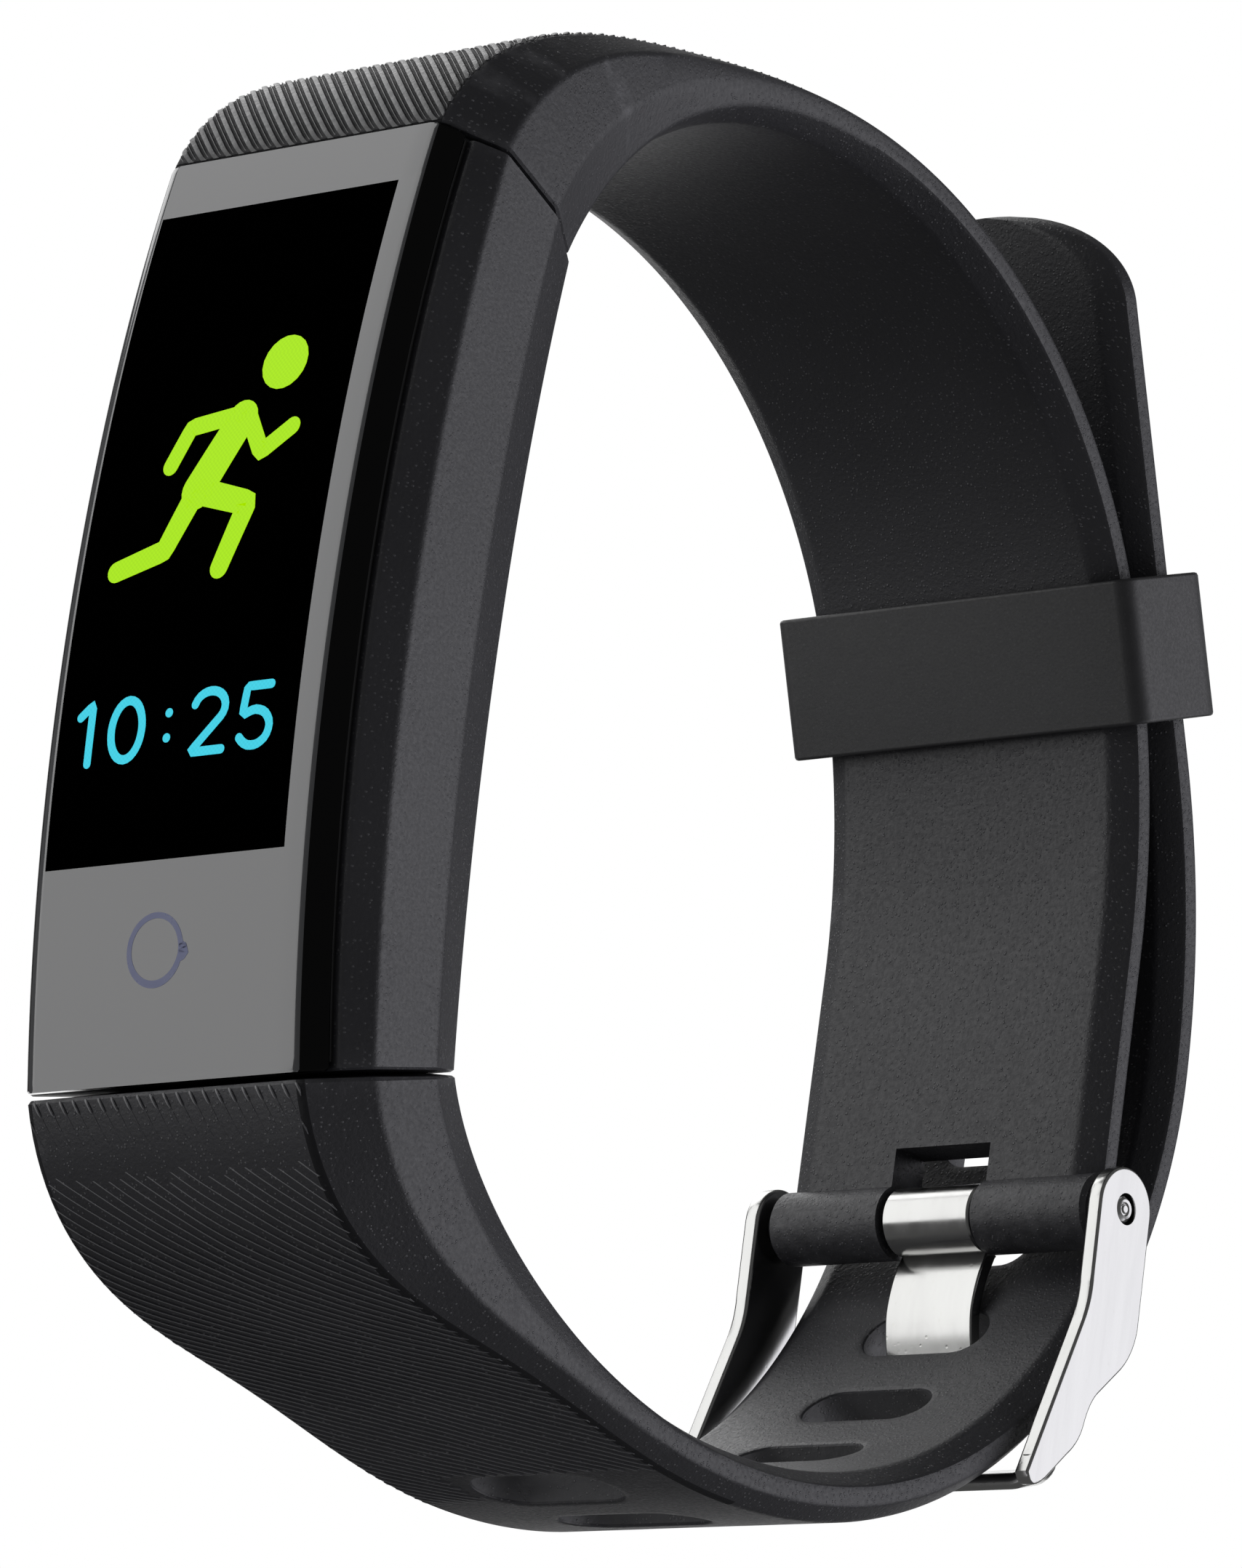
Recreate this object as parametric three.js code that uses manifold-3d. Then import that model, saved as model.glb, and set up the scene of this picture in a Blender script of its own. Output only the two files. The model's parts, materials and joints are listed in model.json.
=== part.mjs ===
// A fitness tracker band, buckled as it is worn: a slim display module, two rubber half-straps that
// plug onto it, a steel pin buckle and a keeper loop.
//
// Millimetres. X is the wrist axis and the band's width, the display faces -Y, +Z points to the
// display's top edge, and the straps close the loop towards +Y. The shapes are drawn around the middle
// of the display's front edge plane, and the last group moves the origin to the middle of the
// bounding box's underside.

import * as THREE from 'three';
import { mergeVertices } from 'three/addons/utils/BufferGeometryUtils.js';
import Module from 'manifold-3d';

// ---------------------------------------------------------------- driving dimensions

const ORIGIN = { y: 28.575, z: -31.646 }; // the part's origin, in the drawing's own frame

// The module: lines that run along it from end to end. x is the half width, and y is the depth at
// the middle and at the ends, so each line bows towards the viewer.
const LINE = {
  lensFront: { x: 7.64, middle: -2.0, end: 0.0 },
  lensBack: { x: 8.59, middle: -1.0, end: 1.0 },
  glueFront: { x: 8.3, middle: -0.95, end: 1.05 },
  glueBack: { x: 8.3, middle: -0.8, end: 1.2 },
  rim: { x: 8.66, middle: -0.75, end: 1.25 },
  shoulder: { x: 9.74, middle: 0.55, end: 2.3 },
  waist: { x: 9.62, middle: 4.75, end: 6.15 },
  backEdge: { x: 8.24, middle: 7.8, end: 8.8 },
};
const HALF_LENGTH = 21; // of the module, at the lens
const END_TAPER = 0.32; // how much shorter each end gets per millimetre towards the wrist
const PARTING_GAP = 0.3; // between the module and each strap

// Inside the middle housing: the cavity from the front, and the opening that the rear cover fills.
const CAVITY = { x: 7.75, z: 18.5, back: 6.6 };
const BACK_OPENING = { x: 7.35, z: 17.0 };
const TONGUE = { x: 6.0, front: 4.6, back: 6.55, reach: 25.9, room: 0.2 }; // what plugs into each strap
const COVER = { x: 7.2, z: 16.85, inside: 6.75, outside: 8.2 };
const GASKET = { width: 0.5, front: 6.53, back: 6.7 };
const WINDOW = { x: 4.3, low: -11.2, high: -2.8, front: 6.75, flange: 8.4, face: 8.7 };
const SCREW_PLACES = [[-5.9, -15.4], [5.9, -15.4], [-5.9, 15.4], [5.9, 15.4]];
const SCREW = { shank: 0.5, head: 1.1, hole: 0.62, sink: 1.25, tip: 5.4, neck: 7.55, top: 8.1, slot: 0.13 };
const BOSS = { half: 1.3, front: 5.2, back: 6.5 }; // the housing's lug that each screw bites into

// What the module holds, each as stretches of X, Y and Z.
const PANEL = { x: [-7.4, 7.4], y: [0.85, 2.2], z: [-13.7, 18.3] };
const TOUCH_PAD = { radius: 2.1, y: [1.0, 1.3], z: -16.1 };
const MAIN_BOARD = { x: [-7.5, 7.5], y: [2.7, 3.4], z: [-18.2, 18.2], corner: 1 };
const PROCESSOR = { x: [-6.6, -1.6], y: [3.45, 4.3], z: [-16.9, -12.2] };
const MEMORY = { x: [-6.4, -3.2], y: [3.45, 4.2], z: [-10.9, -7.3] };
const MOTION_SENSOR = { x: [-1.2, 0.9], y: [3.45, 4.25], z: [-9.9, -7.8] };
const MOTOR = { radius: 2.6, x: 3.4, y: [3.45, 4.4], z: -13.6 };
const BATTERY = { x: [-6.6, 6.6], y: [3.5, 6.4], z: [-1.6, 13.4], corner: 0.9 };
const HEART_BOARD = { x: [-4.2, 4.2], y: [4.9, 5.5], z: [-11, -3], corner: 0.6 };
const HEART_LED = { spread: 2.6, half: 0.8, y: [5.55, 6.2], z: [-7.8, -6.2] };
const PHOTODIODE = { x: [-1.1, 1.1], y: [5.55, 6.2], z: [-8.2, -5.8] };
const CONTACT = { count: 4, pitch: 2.5, half: 0.6, y: [6.6, 6.75], z: [-25.2, -20.4] };

// The straps' thin section, as half width x and depth from the wrist side.
const THIN = {
  flat: { x: 7.7, depth: 0 },
  inner: { x: 9.0, depth: 0.7 },
  side: { x: 9.0, depth: 1.15 },
  outer: { x: 9.0, depth: 1.55 },
  crown: { x: 7.9, depth: 2.25 },
};
// The same five lines where a strap meets the module, and how fast each one thins out along it.
const ROOT = {
  flat: { x: 7.1, depth: 0, reach: 10 },
  inner: { x: 8.24, depth: 0.05, reach: 10 },
  side: { x: 9.62, depth: 2.86, reach: 12 },
  outer: { x: 9.74, depth: 6.75, reach: 10 },
  crown: { x: 7.64, depth: 9.2, reach: 9.2 },
};
const SECTION = ['flat', 'inner', 'side', 'outer', 'crown'];

const SLOT = { length: 7.4, width: 3.3, pitch: 5.72, before: 5, after: 7 };
const TIP = { length: 5, power: 0.45, last: 0.985 }; // how the tail's end narrows to a round tip

// The loop: each strap's wrist side runs from the module's back edge to a crown, and the straps
// meet at the loop's back. The free tail leans back towards the keeper.
const LOOP = { start: { y: 8.75, z: 18.2 }, rise: { y: 11, z: 24.5 }, top: 29.4, ease: 9.5 };
const CROWN_ARC = { y: 26.45, z: 4.5, radius: 24.9 };
const BACK_ARC = { y: 16.3, z: 0, radius: 36, turn: 24 }; // the keeper slides round this one
const LOWER_CROWN = { y: 30, turnIn: 47.5, turnOut: 11.6 };
const TAIL = { y: 56.9, z: -4.5, radius: 38.7, lean: 22, top: 34.2 };

const PIN = { y: 53.1, z: -12.4, radius: 0.6 };
const KNUCKLE = { radius: 1.75, halfWidth: 9.2, bore: 0.72 };
const NOTCH = { halfWidth: 2.75, top: -9.0 };
const PRONG = { halfWidth: 2.45, outer: 1.6, inner: 0.75, sheet: 0.7 };
const PRONG_SLOT = { y: 52.75, z: -18.0 }; // where the prong's tip enters the lower strap
const ARM = { inside: 9.6, outside: 10.4, head: 1.95, bore: 0.68 };
const CROSSBAR = { y: 48.95, z: -26.35, width: 2.8, thickness: 0.8, lean: 39 };

const KEEPER = {
  halfWidth: 10.46, room: 9.6, depth: 6.9, height: 6.75, wall: 0.6, strapGap: 0.4,
  outerCorner: 1.8, innerCorner: 0.9, roomCorner: 0.5, angle: 22, // degrees round the back arc
};

// ---------------------------------------------------------------- solids: helpers

const wasm = await Module();
wasm.setup();

const X_AXIS = new THREE.Vector3(1, 0, 0);
const Y_AXIS = new THREE.Vector3(0, 1, 0);
const Z_AXIS = new THREE.Vector3(0, 0, 1);

function welded(geometry) {
  const bare = new THREE.BufferGeometry();
  bare.setAttribute('position', geometry.getAttribute('position').clone());
  if (geometry.index) {
    bare.setIndex(geometry.index.clone());
  }
  return mergeVertices(bare, 1e-4);
}

function toSolid(geometry) {
  const mesh = welded(geometry);
  return new wasm.Manifold(new wasm.Mesh({
    numProp: 3,
    vertProperties: Float32Array.from(mesh.getAttribute('position').array),
    triVerts: Uint32Array.from(mesh.index.array),
  }));
}

function toGeometry(solid) {
  const mesh = solid.getMesh();
  const geometry = new THREE.BufferGeometry();
  geometry.setAttribute('position', new THREE.BufferAttribute(Float32Array.from(mesh.vertProperties), 3));
  geometry.setIndex(new THREE.BufferAttribute(Uint32Array.from(mesh.triVerts), 1));
  return geometry;
}

function cut(body, ...tools) {
  let solid = toSolid(body);
  for (const tool of tools) {
    solid = solid.subtract(toSolid(tool));
  }
  return toGeometry(solid);
}

function join(...bodies) {
  let solid = toSolid(bodies[0]);
  for (const body of bodies.slice(1)) {
    solid = solid.add(toSolid(body));
  }
  return toGeometry(solid);
}

// A closed solid through rings of equally many points, with a fan over each end.
function loft(rings) {
  const size = rings[0].length;
  const points = rings.flat();
  const faces = [];
  for (let ring = 0; ring + 1 < rings.length; ring += 1) {
    for (let i = 0; i < size; i += 1) {
      const a = ring * size + i;
      const b = ring * size + (i + 1) % size;
      faces.push(a, b, b + size, a, b + size, a + size);
    }
  }
  for (const [start, turned] of [[0, true], [(rings.length - 1) * size, false]]) {
    const middle = new THREE.Vector3();
    for (let i = 0; i < size; i += 1) {
      middle.addScaledVector(points[start + i], 1 / size);
    }
    const hub = points.push(middle) - 1;
    for (let i = 0; i < size; i += 1) {
      const a = start + i;
      const b = start + (i + 1) % size;
      faces.push(...(turned ? [hub, b, a] : [hub, a, b]));
    }
  }
  const geometry = new THREE.BufferGeometry().setFromPoints(points);
  geometry.setIndex(faces);
  return geometry;
}

function box(x, y, z) {
  const [size, middle] = [[], []];
  for (const [low, high] of [x, y, z]) {
    size.push(high - low);
    middle.push((low + high) / 2);
  }
  return new THREE.BoxGeometry(...size).translate(...middle);
}

// An outline drawn in Y and Z, as thick as the stretch of X given.
function alongX(shape, low, high, curveSegments = 8) {
  const options = { depth: high - low, bevelEnabled: false, curveSegments };
  const geometry = new THREE.ExtrudeGeometry(shape, options);
  geometry.applyMatrix4(new THREE.Matrix4().makeBasis(Y_AXIS, Z_AXIS, X_AXIS));
  return geometry.translate(low, 0, 0);
}

// An outline drawn in X and Z, as thick as the stretch of Y given.
function alongY(shape, low, high, curveSegments = 6) {
  const options = { depth: high - low, bevelEnabled: false, curveSegments };
  const geometry = new THREE.ExtrudeGeometry(shape, options);
  geometry.applyMatrix4(new THREE.Matrix4().makeBasis(X_AXIS, Z_AXIS, Y_AXIS.clone().negate()));
  return geometry.translate(0, high, 0);
}

function roundedRectangle(x0, x1, y0, y1, radius) {
  const shape = new THREE.Shape();
  shape.moveTo(x0 + radius, y0);
  shape.lineTo(x1 - radius, y0);
  shape.absarc(x1 - radius, y0 + radius, radius, -Math.PI / 2, 0);
  shape.lineTo(x1, y1 - radius);
  shape.absarc(x1 - radius, y1 - radius, radius, 0, Math.PI / 2);
  shape.lineTo(x0 + radius, y1);
  shape.absarc(x0 + radius, y1 - radius, radius, Math.PI / 2, Math.PI);
  shape.lineTo(x0, y0 + radius);
  shape.absarc(x0 + radius, y0 + radius, radius, Math.PI, 1.5 * Math.PI);
  return shape;
}

// A round bar or bore along X, centred on the pin unless told otherwise.
function roundAlongX(radius, low, high, sides = 24, y = PIN.y, z = PIN.z) {
  const geometry = new THREE.CylinderGeometry(radius, radius, high - low, sides);
  return geometry.rotateZ(Math.PI / 2).translate((low + high) / 2, y, z);
}

function roundAlongY(radius, x, z, low, high, sides = 20) {
  return new THREE.CylinderGeometry(radius, radius, high - low, sides).translate(x, (low + high) / 2, z);
}

// ---------------------------------------------------------------- the module's outer form

// A point on one of the module's lines. along runs from -1 at the bottom end to 1 at the top.
function linePoint(line, side, along) {
  const y = line.middle + (line.end - line.middle) * along * along;
  const reach = HALF_LENGTH - END_TAPER * y - PARTING_GAP;
  return new THREE.Vector3(side * line.x, y, along * reach);
}

function moduleForm(lines, steps = 16) {
  const rings = [];
  for (let step = 0; step <= steps; step += 1) {
    const along = (2 * step) / steps - 1;
    const right = lines.map((line) => linePoint(line, 1, along));
    const left = lines.map((line) => linePoint(line, -1, along)).reverse();
    rings.push([...right, ...left]);
  }
  return loft(rings);
}

// ---------------------------------------------------------------- the module's pieces

function makeLens() {
  return moduleForm([LINE.lensFront, LINE.lensBack]);
}

function makeLensAdhesive() {
  const opening = roundedRectangle(-CAVITY.x + 0.2, CAVITY.x - 0.2, -CAVITY.z, CAVITY.z, 1);
  return cut(moduleForm([LINE.glueFront, LINE.glueBack]), alongY(opening, -3, 4));
}

function makeMiddleHousing() {
  const shell = moduleForm([LINE.rim, LINE.shoulder, LINE.waist, LINE.backEdge]);
  const cavity = roundedRectangle(-CAVITY.x, CAVITY.x, -CAVITY.z, CAVITY.z, 0.6);
  const back = roundedRectangle(-BACK_OPENING.x, BACK_OPENING.x, -BACK_OPENING.z, BACK_OPENING.z, 1.5);
  const plug = { x: TONGUE.x + 0.15, y: [TONGUE.front - 0.15, TONGUE.back + 0.15], z: [-22, -18] };
  const plugSlot = box([-plug.x, plug.x], plug.y, plug.z);
  const opened = cut(shell, alongY(cavity, -3, CAVITY.back), alongY(back, CAVITY.back - 1, 12), plugSlot);
  const tongue = box([-TONGUE.x, TONGUE.x], [TONGUE.front, TONGUE.back], [CAVITY.z + 0.3, TONGUE.reach]);
  const pieces = [opened, tongue];
  for (const [x, z] of SCREW_PLACES) {
    const sides = [x - Math.sign(x) * BOSS.half, Math.sign(x) * (CAVITY.x + 0.5)];
    pieces.push(box(sides.sort((a, b) => a - b), [BOSS.front, BOSS.back], [z - BOSS.half, z + BOSS.half]));
  }
  const holes = SCREW_PLACES.map(([x, z]) => roundAlongY(SCREW.hole, x, z, 4, 9, 12));
  return cut(join(...pieces), ...holes);
}

function makeRearCover() {
  const plate = roundedRectangle(-COVER.x, COVER.x, -COVER.z, COVER.z, 1.4);
  const window = roundedRectangle(-WINDOW.x - 0.1, WINDOW.x + 0.1, WINDOW.low - 0.1, WINDOW.high + 0.1, 3);
  const tools = [alongY(window, 5, 10)];
  for (const [x, z] of SCREW_PLACES) {
    tools.push(roundAlongY(SCREW.hole, x, z, 6, 10, 12), roundAlongY(SCREW.sink, x, z, 7.5, 10, 16));
  }
  return cut(alongY(plate, COVER.inside, COVER.outside), ...tools);
}

function makeScrew(x, z) {
  const shank = roundAlongY(SCREW.shank, x, z, SCREW.tip, SCREW.neck + 0.25, 12);
  const head = roundAlongY(SCREW.head, x, z, SCREW.neck, SCREW.top, 16);
  const depth = [SCREW.top - 0.25, SCREW.top + 1];
  const across = box([x - 0.7, x + 0.7], depth, [z - SCREW.slot, z + SCREW.slot]);
  const upright = box([x - SCREW.slot, x + SCREW.slot], depth, [z - 0.7, z + 0.7]);
  return cut(join(shank, head), across, upright);
}

function makeCoverGasket() {
  const outer = roundedRectangle(-COVER.x, COVER.x, -COVER.z, COVER.z, 1.4);
  const [x, z] = [COVER.x - GASKET.width, COVER.z - GASKET.width];
  const inner = roundedRectangle(-x, x, -z, z, 1);
  return cut(alongY(outer, GASKET.front, GASKET.back), alongY(inner, 6, 8));
}

function makeSensorWindow() {
  const flange = roundedRectangle(-WINDOW.x, WINDOW.x, WINDOW.low, WINDOW.high, 2.9);
  const crown = roundedRectangle(-WINDOW.x + 0.5, WINDOW.x - 0.5, WINDOW.low + 0.5, WINDOW.high - 0.5, 2.4);
  const [front, shoulder, face] = [WINDOW.front, WINDOW.flange, WINDOW.face];
  return join(alongY(flange, front, shoulder), alongY(crown, shoulder - 0.1, face));
}

function makeDisplayFlex() {
  const route = new THREE.Shape();
  route.moveTo(1.9, -13.85);
  route.lineTo(1.9, -15.3);
  route.absarc(2.2, -15.3, 0.3, Math.PI, 1.5 * Math.PI);
  route.lineTo(2.5, -15.6);
  route.lineTo(2.5, -15.45);
  route.lineTo(2.2, -15.45);
  route.absarc(2.2, -15.3, 0.15, 1.5 * Math.PI, Math.PI, true);
  route.lineTo(2.05, -13.85);
  return alongX(route, -3.5, 3.5, 6);
}

// ---------------------------------------------------------------- the straps

// The wrist side of a strap from the module to its crown, in Y and Z. side is 1 above and -1 below.
function rootCurve(side, end) {
  return new THREE.CubicBezierCurve(
    new THREE.Vector2(LOOP.start.y, side * LOOP.start.z),
    new THREE.Vector2(LOOP.rise.y, side * LOOP.rise.z),
    new THREE.Vector2(end - LOOP.ease, side * LOOP.top),
    new THREE.Vector2(end, side * LOOP.top),
  );
}

function arcAround(arc, from, to, clockwise) {
  return new THREE.EllipseCurve(arc.y, arc.z, arc.radius, arc.radius, from, to, clockwise);
}

function upperStrapPath() {
  const turn = THREE.MathUtils.degToRad(BACK_ARC.turn);
  const path = new THREE.CurvePath();
  path.add(rootCurve(1, CROWN_ARC.y));
  path.add(arcAround(CROWN_ARC, Math.PI / 2, turn, true));
  path.add(arcAround(BACK_ARC, turn, 0, true));
  const back = BACK_ARC.y + BACK_ARC.radius;
  path.add(new THREE.LineCurve(new THREE.Vector2(back, BACK_ARC.z), new THREE.Vector2(back, PIN.z + 0.6)));
  return path;
}

function lowerStrapPath() {
  const lean = THREE.MathUtils.degToRad(TAIL.lean);
  const centre = TAIL.y - TAIL.radius;
  const rise = TAIL.top - (TAIL.z + TAIL.radius * Math.sin(lean));
  const bend = new THREE.Vector2(centre + TAIL.radius * Math.cos(lean), TAIL.top - rise);
  const path = new THREE.CurvePath();
  path.add(rootCurve(-1, LOWER_CROWN.y));
  path.add(new THREE.CubicBezierCurve(
    new THREE.Vector2(LOWER_CROWN.y, -LOOP.top),
    new THREE.Vector2(LOWER_CROWN.turnIn, -LOOP.top),
    new THREE.Vector2(TAIL.y, TAIL.z - LOWER_CROWN.turnOut),
    new THREE.Vector2(TAIL.y, TAIL.z),
  ));
  path.add(arcAround({ y: centre, z: TAIL.z, radius: TAIL.radius }, 0, lean, false));
  path.add(new THREE.LineCurve(bend, new THREE.Vector2(bend.x - rise * Math.tan(lean), TAIL.top)));
  return path;
}

// The strap's section at a distance along its path. outward is 1 where the outer side is on the
// left of the direction of travel, and -1 where it is on the right.
function strapRing(path, distance, outward, widthScale = 1) {
  const at = distance / path.getLength();
  const point = path.getPointAt(at);
  const tangent = path.getTangentAt(at);
  const normal = new THREE.Vector2(-tangent.y * outward, tangent.x * outward);
  const right = SECTION.map((name) => {
    const [thin, root] = [THIN[name], ROOT[name]];
    const share = Math.exp(-((distance / root.reach) ** 2));
    const depth = thin.depth + (root.depth - thin.depth) * share;
    const x = (thin.x + (root.x - thin.x) * share) * widthScale;
    return new THREE.Vector3(x, point.x + normal.x * depth, point.y + normal.y * depth);
  });
  const left = right.map((p) => new THREE.Vector3(-p.x, p.y, p.z)).reverse();
  const ring = [...right, ...left];
  return outward > 0 ? ring.reverse() : ring;
}

// The space inside a strap's root for the module's tongue.
function tonguePocket(side) {
  const x = TONGUE.x + TONGUE.room;
  const y = [TONGUE.front - TONGUE.room, TONGUE.back + 0.45]; // the contacts lie on the tongue's back
  const z = [side * 15, side * (TONGUE.reach + 0.3)].sort((a, b) => a - b);
  return box([-x, x], y, z);
}

function makeUpperStrap() {
  const path = upperStrapPath();
  const length = path.getLength();
  const steps = 44;
  const rings = [];
  for (let step = 0; step <= steps; step += 1) {
    rings.push(strapRing(path, (length * step) / steps, 1));
  }
  const knuckle = roundAlongX(KNUCKLE.radius, -KNUCKLE.halfWidth, KNUCKLE.halfWidth, 28);
  const notch = box([-NOTCH.halfWidth, NOTCH.halfWidth], [PIN.y - 4, PIN.y + 4], [PIN.z - 4, NOTCH.top]);
  const bore = roundAlongX(KNUCKLE.bore, -12, 12, 20);
  return cut(join(loft(rings), knuckle), notch, bore, tonguePocket(1));
}

// One adjustment slot through the strap, at a place on its path.
function slotTool(path, distance) {
  const at = distance / path.getLength();
  const point = path.getPointAt(at);
  const tangent = path.getTangentAt(at);
  const half = { x: SLOT.length / 2, s: SLOT.width / 2 };
  const outline = roundedRectangle(-half.x, half.x, -half.s, half.s, half.s - 0.05);
  const depth = 2 * (THIN.crown.depth + 0.4); // through the strap, which lies to one side of its path
  const tool = new THREE.ExtrudeGeometry(outline, { depth, bevelEnabled: false, curveSegments: 5 });
  const alongStrap = new THREE.Vector3(0, tangent.x, tangent.y);
  const across = new THREE.Vector3().crossVectors(X_AXIS, alongStrap);
  const place = new THREE.Matrix4().makeBasis(X_AXIS, alongStrap, across);
  place.setPosition(0, point.x, point.y);
  return tool.translate(0, 0, -depth / 2).applyMatrix4(place);
}

// How far along the lower strap the prong's slot is.
function prongSlotDistance(path) {
  let best = { distance: 0, gap: Infinity };
  const target = new THREE.Vector2(PRONG_SLOT.y, PRONG_SLOT.z);
  for (let distance = 30; distance < 80; distance += 0.05) {
    const gap = path.getPointAt(distance / path.getLength()).distanceTo(target);
    if (gap < best.gap) {
      best = { distance, gap };
    }
  }
  return best.distance;
}

function makeLowerStrap() {
  const path = lowerStrapPath();
  const length = path.getLength();
  const plainSteps = 50;
  const tipSteps = 9;
  const rings = [];
  for (let step = 0; step <= plainSteps; step += 1) {
    rings.push(strapRing(path, ((length - TIP.length) * step) / plainSteps, -1));
  }
  for (let step = 1; step <= tipSteps; step += 1) {
    const left = Math.cos((Math.PI / 2) * (step / tipSteps) * TIP.last); // share of the taper to go
    const scale = (1 - (1 - left) ** 2) ** TIP.power;
    rings.push(strapRing(path, length - TIP.length * left, -1, scale));
  }
  const first = prongSlotDistance(path);
  const tools = [tonguePocket(-1)];
  for (let slot = -SLOT.before; slot <= SLOT.after; slot += 1) {
    tools.push(slotTool(path, first + slot * SLOT.pitch));
  }
  return cut(loft(rings), ...tools);
}

// ---------------------------------------------------------------- buckle and keeper

// One arm's outline: a round head on the pin, a step back over the strap, and a foot that ends
// at the crossbar.
function armOutline() {
  const arm = new THREE.Shape();
  arm.moveTo(PIN.y - ARM.head, PIN.z);
  arm.absarc(PIN.y, PIN.z, ARM.head, Math.PI, 0, true);
  arm.lineTo(55.1, -17.6);
  arm.quadraticCurveTo(55.0, -18.8, 54.2, -19.7);
  arm.lineTo(52.6, -21.3);
  arm.quadraticCurveTo(52.1, -21.9, 51.9, -22.9);
  arm.quadraticCurveTo(51.7, -23.9, 50.9, -24.7);
  arm.lineTo(49.1, -26.6);
  arm.quadraticCurveTo(48.3, -27.3, 47.9, -26.4);
  arm.lineTo(50.9, -18.2);
  arm.quadraticCurveTo(51.3, -17.1, 51.2, -16.0);
  arm.lineTo(PIN.y - ARM.head, PIN.z);
  return arm;
}

function makeBuckleFrame() {
  const arm = armOutline();
  const bar = roundedRectangle(
    -CROSSBAR.width / 2, CROSSBAR.width / 2, -CROSSBAR.thickness / 2, CROSSBAR.thickness / 2, 0.35,
  );
  const crossbar = alongX(bar, -ARM.outside + 0.1, ARM.outside - 0.1, 4);
  crossbar.rotateX(THREE.MathUtils.degToRad(CROSSBAR.lean)).translate(0, CROSSBAR.y, CROSSBAR.z);
  const arms = [alongX(arm, ARM.inside, ARM.outside), alongX(arm, -ARM.outside, -ARM.inside)];
  return cut(join(arms[0], crossbar, arms[1]), roundAlongX(ARM.bore, -12, 12, 20));
}

function makePin() {
  return roundAlongX(PIN.radius, -ARM.outside + 0.05, ARM.outside - 0.05, 20);
}

// The prong: a strip of sheet rolled round the pin, with a tongue that curves down into a slot.
function makeProng() {
  const front = new THREE.SplineCurve([
    new THREE.Vector2(53.45, -13.7),
    new THREE.Vector2(52.95, -15.1),
    new THREE.Vector2(52.72, -16.6),
    new THREE.Vector2(52.83, -17.7),
    new THREE.Vector2(53.2, -19.1),
  ]);
  const steps = 10;
  const frontPoints = front.getPoints(steps);
  const backPoints = frontPoints.map((point, i) => {
    const tangent = front.getTangent(i / steps);
    return new THREE.Vector2(point.x - tangent.y * PRONG.sheet, point.y + tangent.x * PRONG.sheet);
  });
  const outline = new THREE.Shape([...frontPoints, ...backPoints.reverse()]);
  const tongue = alongX(outline, -PRONG.halfWidth, PRONG.halfWidth);
  const roll = roundAlongX(PRONG.outer, -PRONG.halfWidth, PRONG.halfWidth, 28);
  return cut(join(roll, tongue), roundAlongX(PRONG.inner, -4, 4, 20));
}

// The keeper's section, looking along the strap: a loop with softer corners on its outer side.
function makeKeeper() {
  const half = KEEPER.halfWidth;
  const [soft, firm] = [KEEPER.outerCorner, KEEPER.innerCorner];
  const outline = new THREE.Shape();
  outline.moveTo(-half + firm, 0);
  outline.lineTo(half - firm, 0);
  outline.absarc(half - firm, firm, firm, -Math.PI / 2, 0);
  outline.lineTo(half, KEEPER.depth - soft);
  outline.absarc(half - soft, KEEPER.depth - soft, soft, 0, Math.PI / 2);
  outline.lineTo(-half + soft, KEEPER.depth);
  outline.absarc(-half + soft, KEEPER.depth - soft, soft, Math.PI / 2, Math.PI);
  outline.lineTo(-half, firm);
  outline.absarc(-half + firm, firm, firm, Math.PI, 1.5 * Math.PI);
  const [wall, room] = [KEEPER.wall, KEEPER.room];
  outline.holes.push(roundedRectangle(-room, room, wall, KEEPER.depth - wall, KEEPER.roomCorner));
  const options = { depth: KEEPER.height, bevelEnabled: false, curveSegments: 6 };
  const loop = new THREE.ExtrudeGeometry(outline, options);
  loop.translate(0, 0, -KEEPER.height / 2);
  const start = BACK_ARC.radius - wall - KEEPER.strapGap;
  loop.translate(0, start, 0).rotateX(THREE.MathUtils.degToRad(KEEPER.angle));
  return loop.translate(0, BACK_ARC.y, BACK_ARC.z);
}

// ---------------------------------------------------------------- assembly

const FINISH = {
  lensGlass: { color: 0x33353a, roughness: 0.12, metalness: 0 },
  adhesive: { color: 0x111111, roughness: 0.8, metalness: 0 },
  housing: { color: 0x1b1c1f, roughness: 0.55, metalness: 0 },
  rubber: { color: 0x161719, roughness: 0.7, metalness: 0 },
  steel: { color: 0xd7d8da, roughness: 0.15, metalness: 1 },
  display: { color: 0x050506, roughness: 0.2, metalness: 0 },
  flex: { color: 0xb4691f, roughness: 0.5, metalness: 0 },
  board: { color: 0x0d4a2c, roughness: 0.5, metalness: 0 },
  chip: { color: 0x151517, roughness: 0.4, metalness: 0 },
  cell: { color: 0xa8abb0, roughness: 0.35, metalness: 0.6 },
  gold: { color: 0xd4a53a, roughness: 0.25, metalness: 1 },
  window: { color: 0x101418, roughness: 0.08, metalness: 0 },
  diode: { color: 0xcfe8b0, roughness: 0.3, metalness: 0 },
};

const band = new THREE.Group();
band.position.set(0, -ORIGIN.y, -ORIGIN.z);

function add(name, geometry, finish) {
  const mesh = new THREE.Mesh(geometry, new THREE.MeshStandardMaterial(FINISH[finish]));
  mesh.name = name;
  band.add(mesh);
}

function block({ x, y, z }) {
  return box(x, y, z);
}

function plate({ x, y, z, corner }) {
  return alongY(roundedRectangle(x[0], x[1], z[0], z[1], corner), ...y);
}

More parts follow.
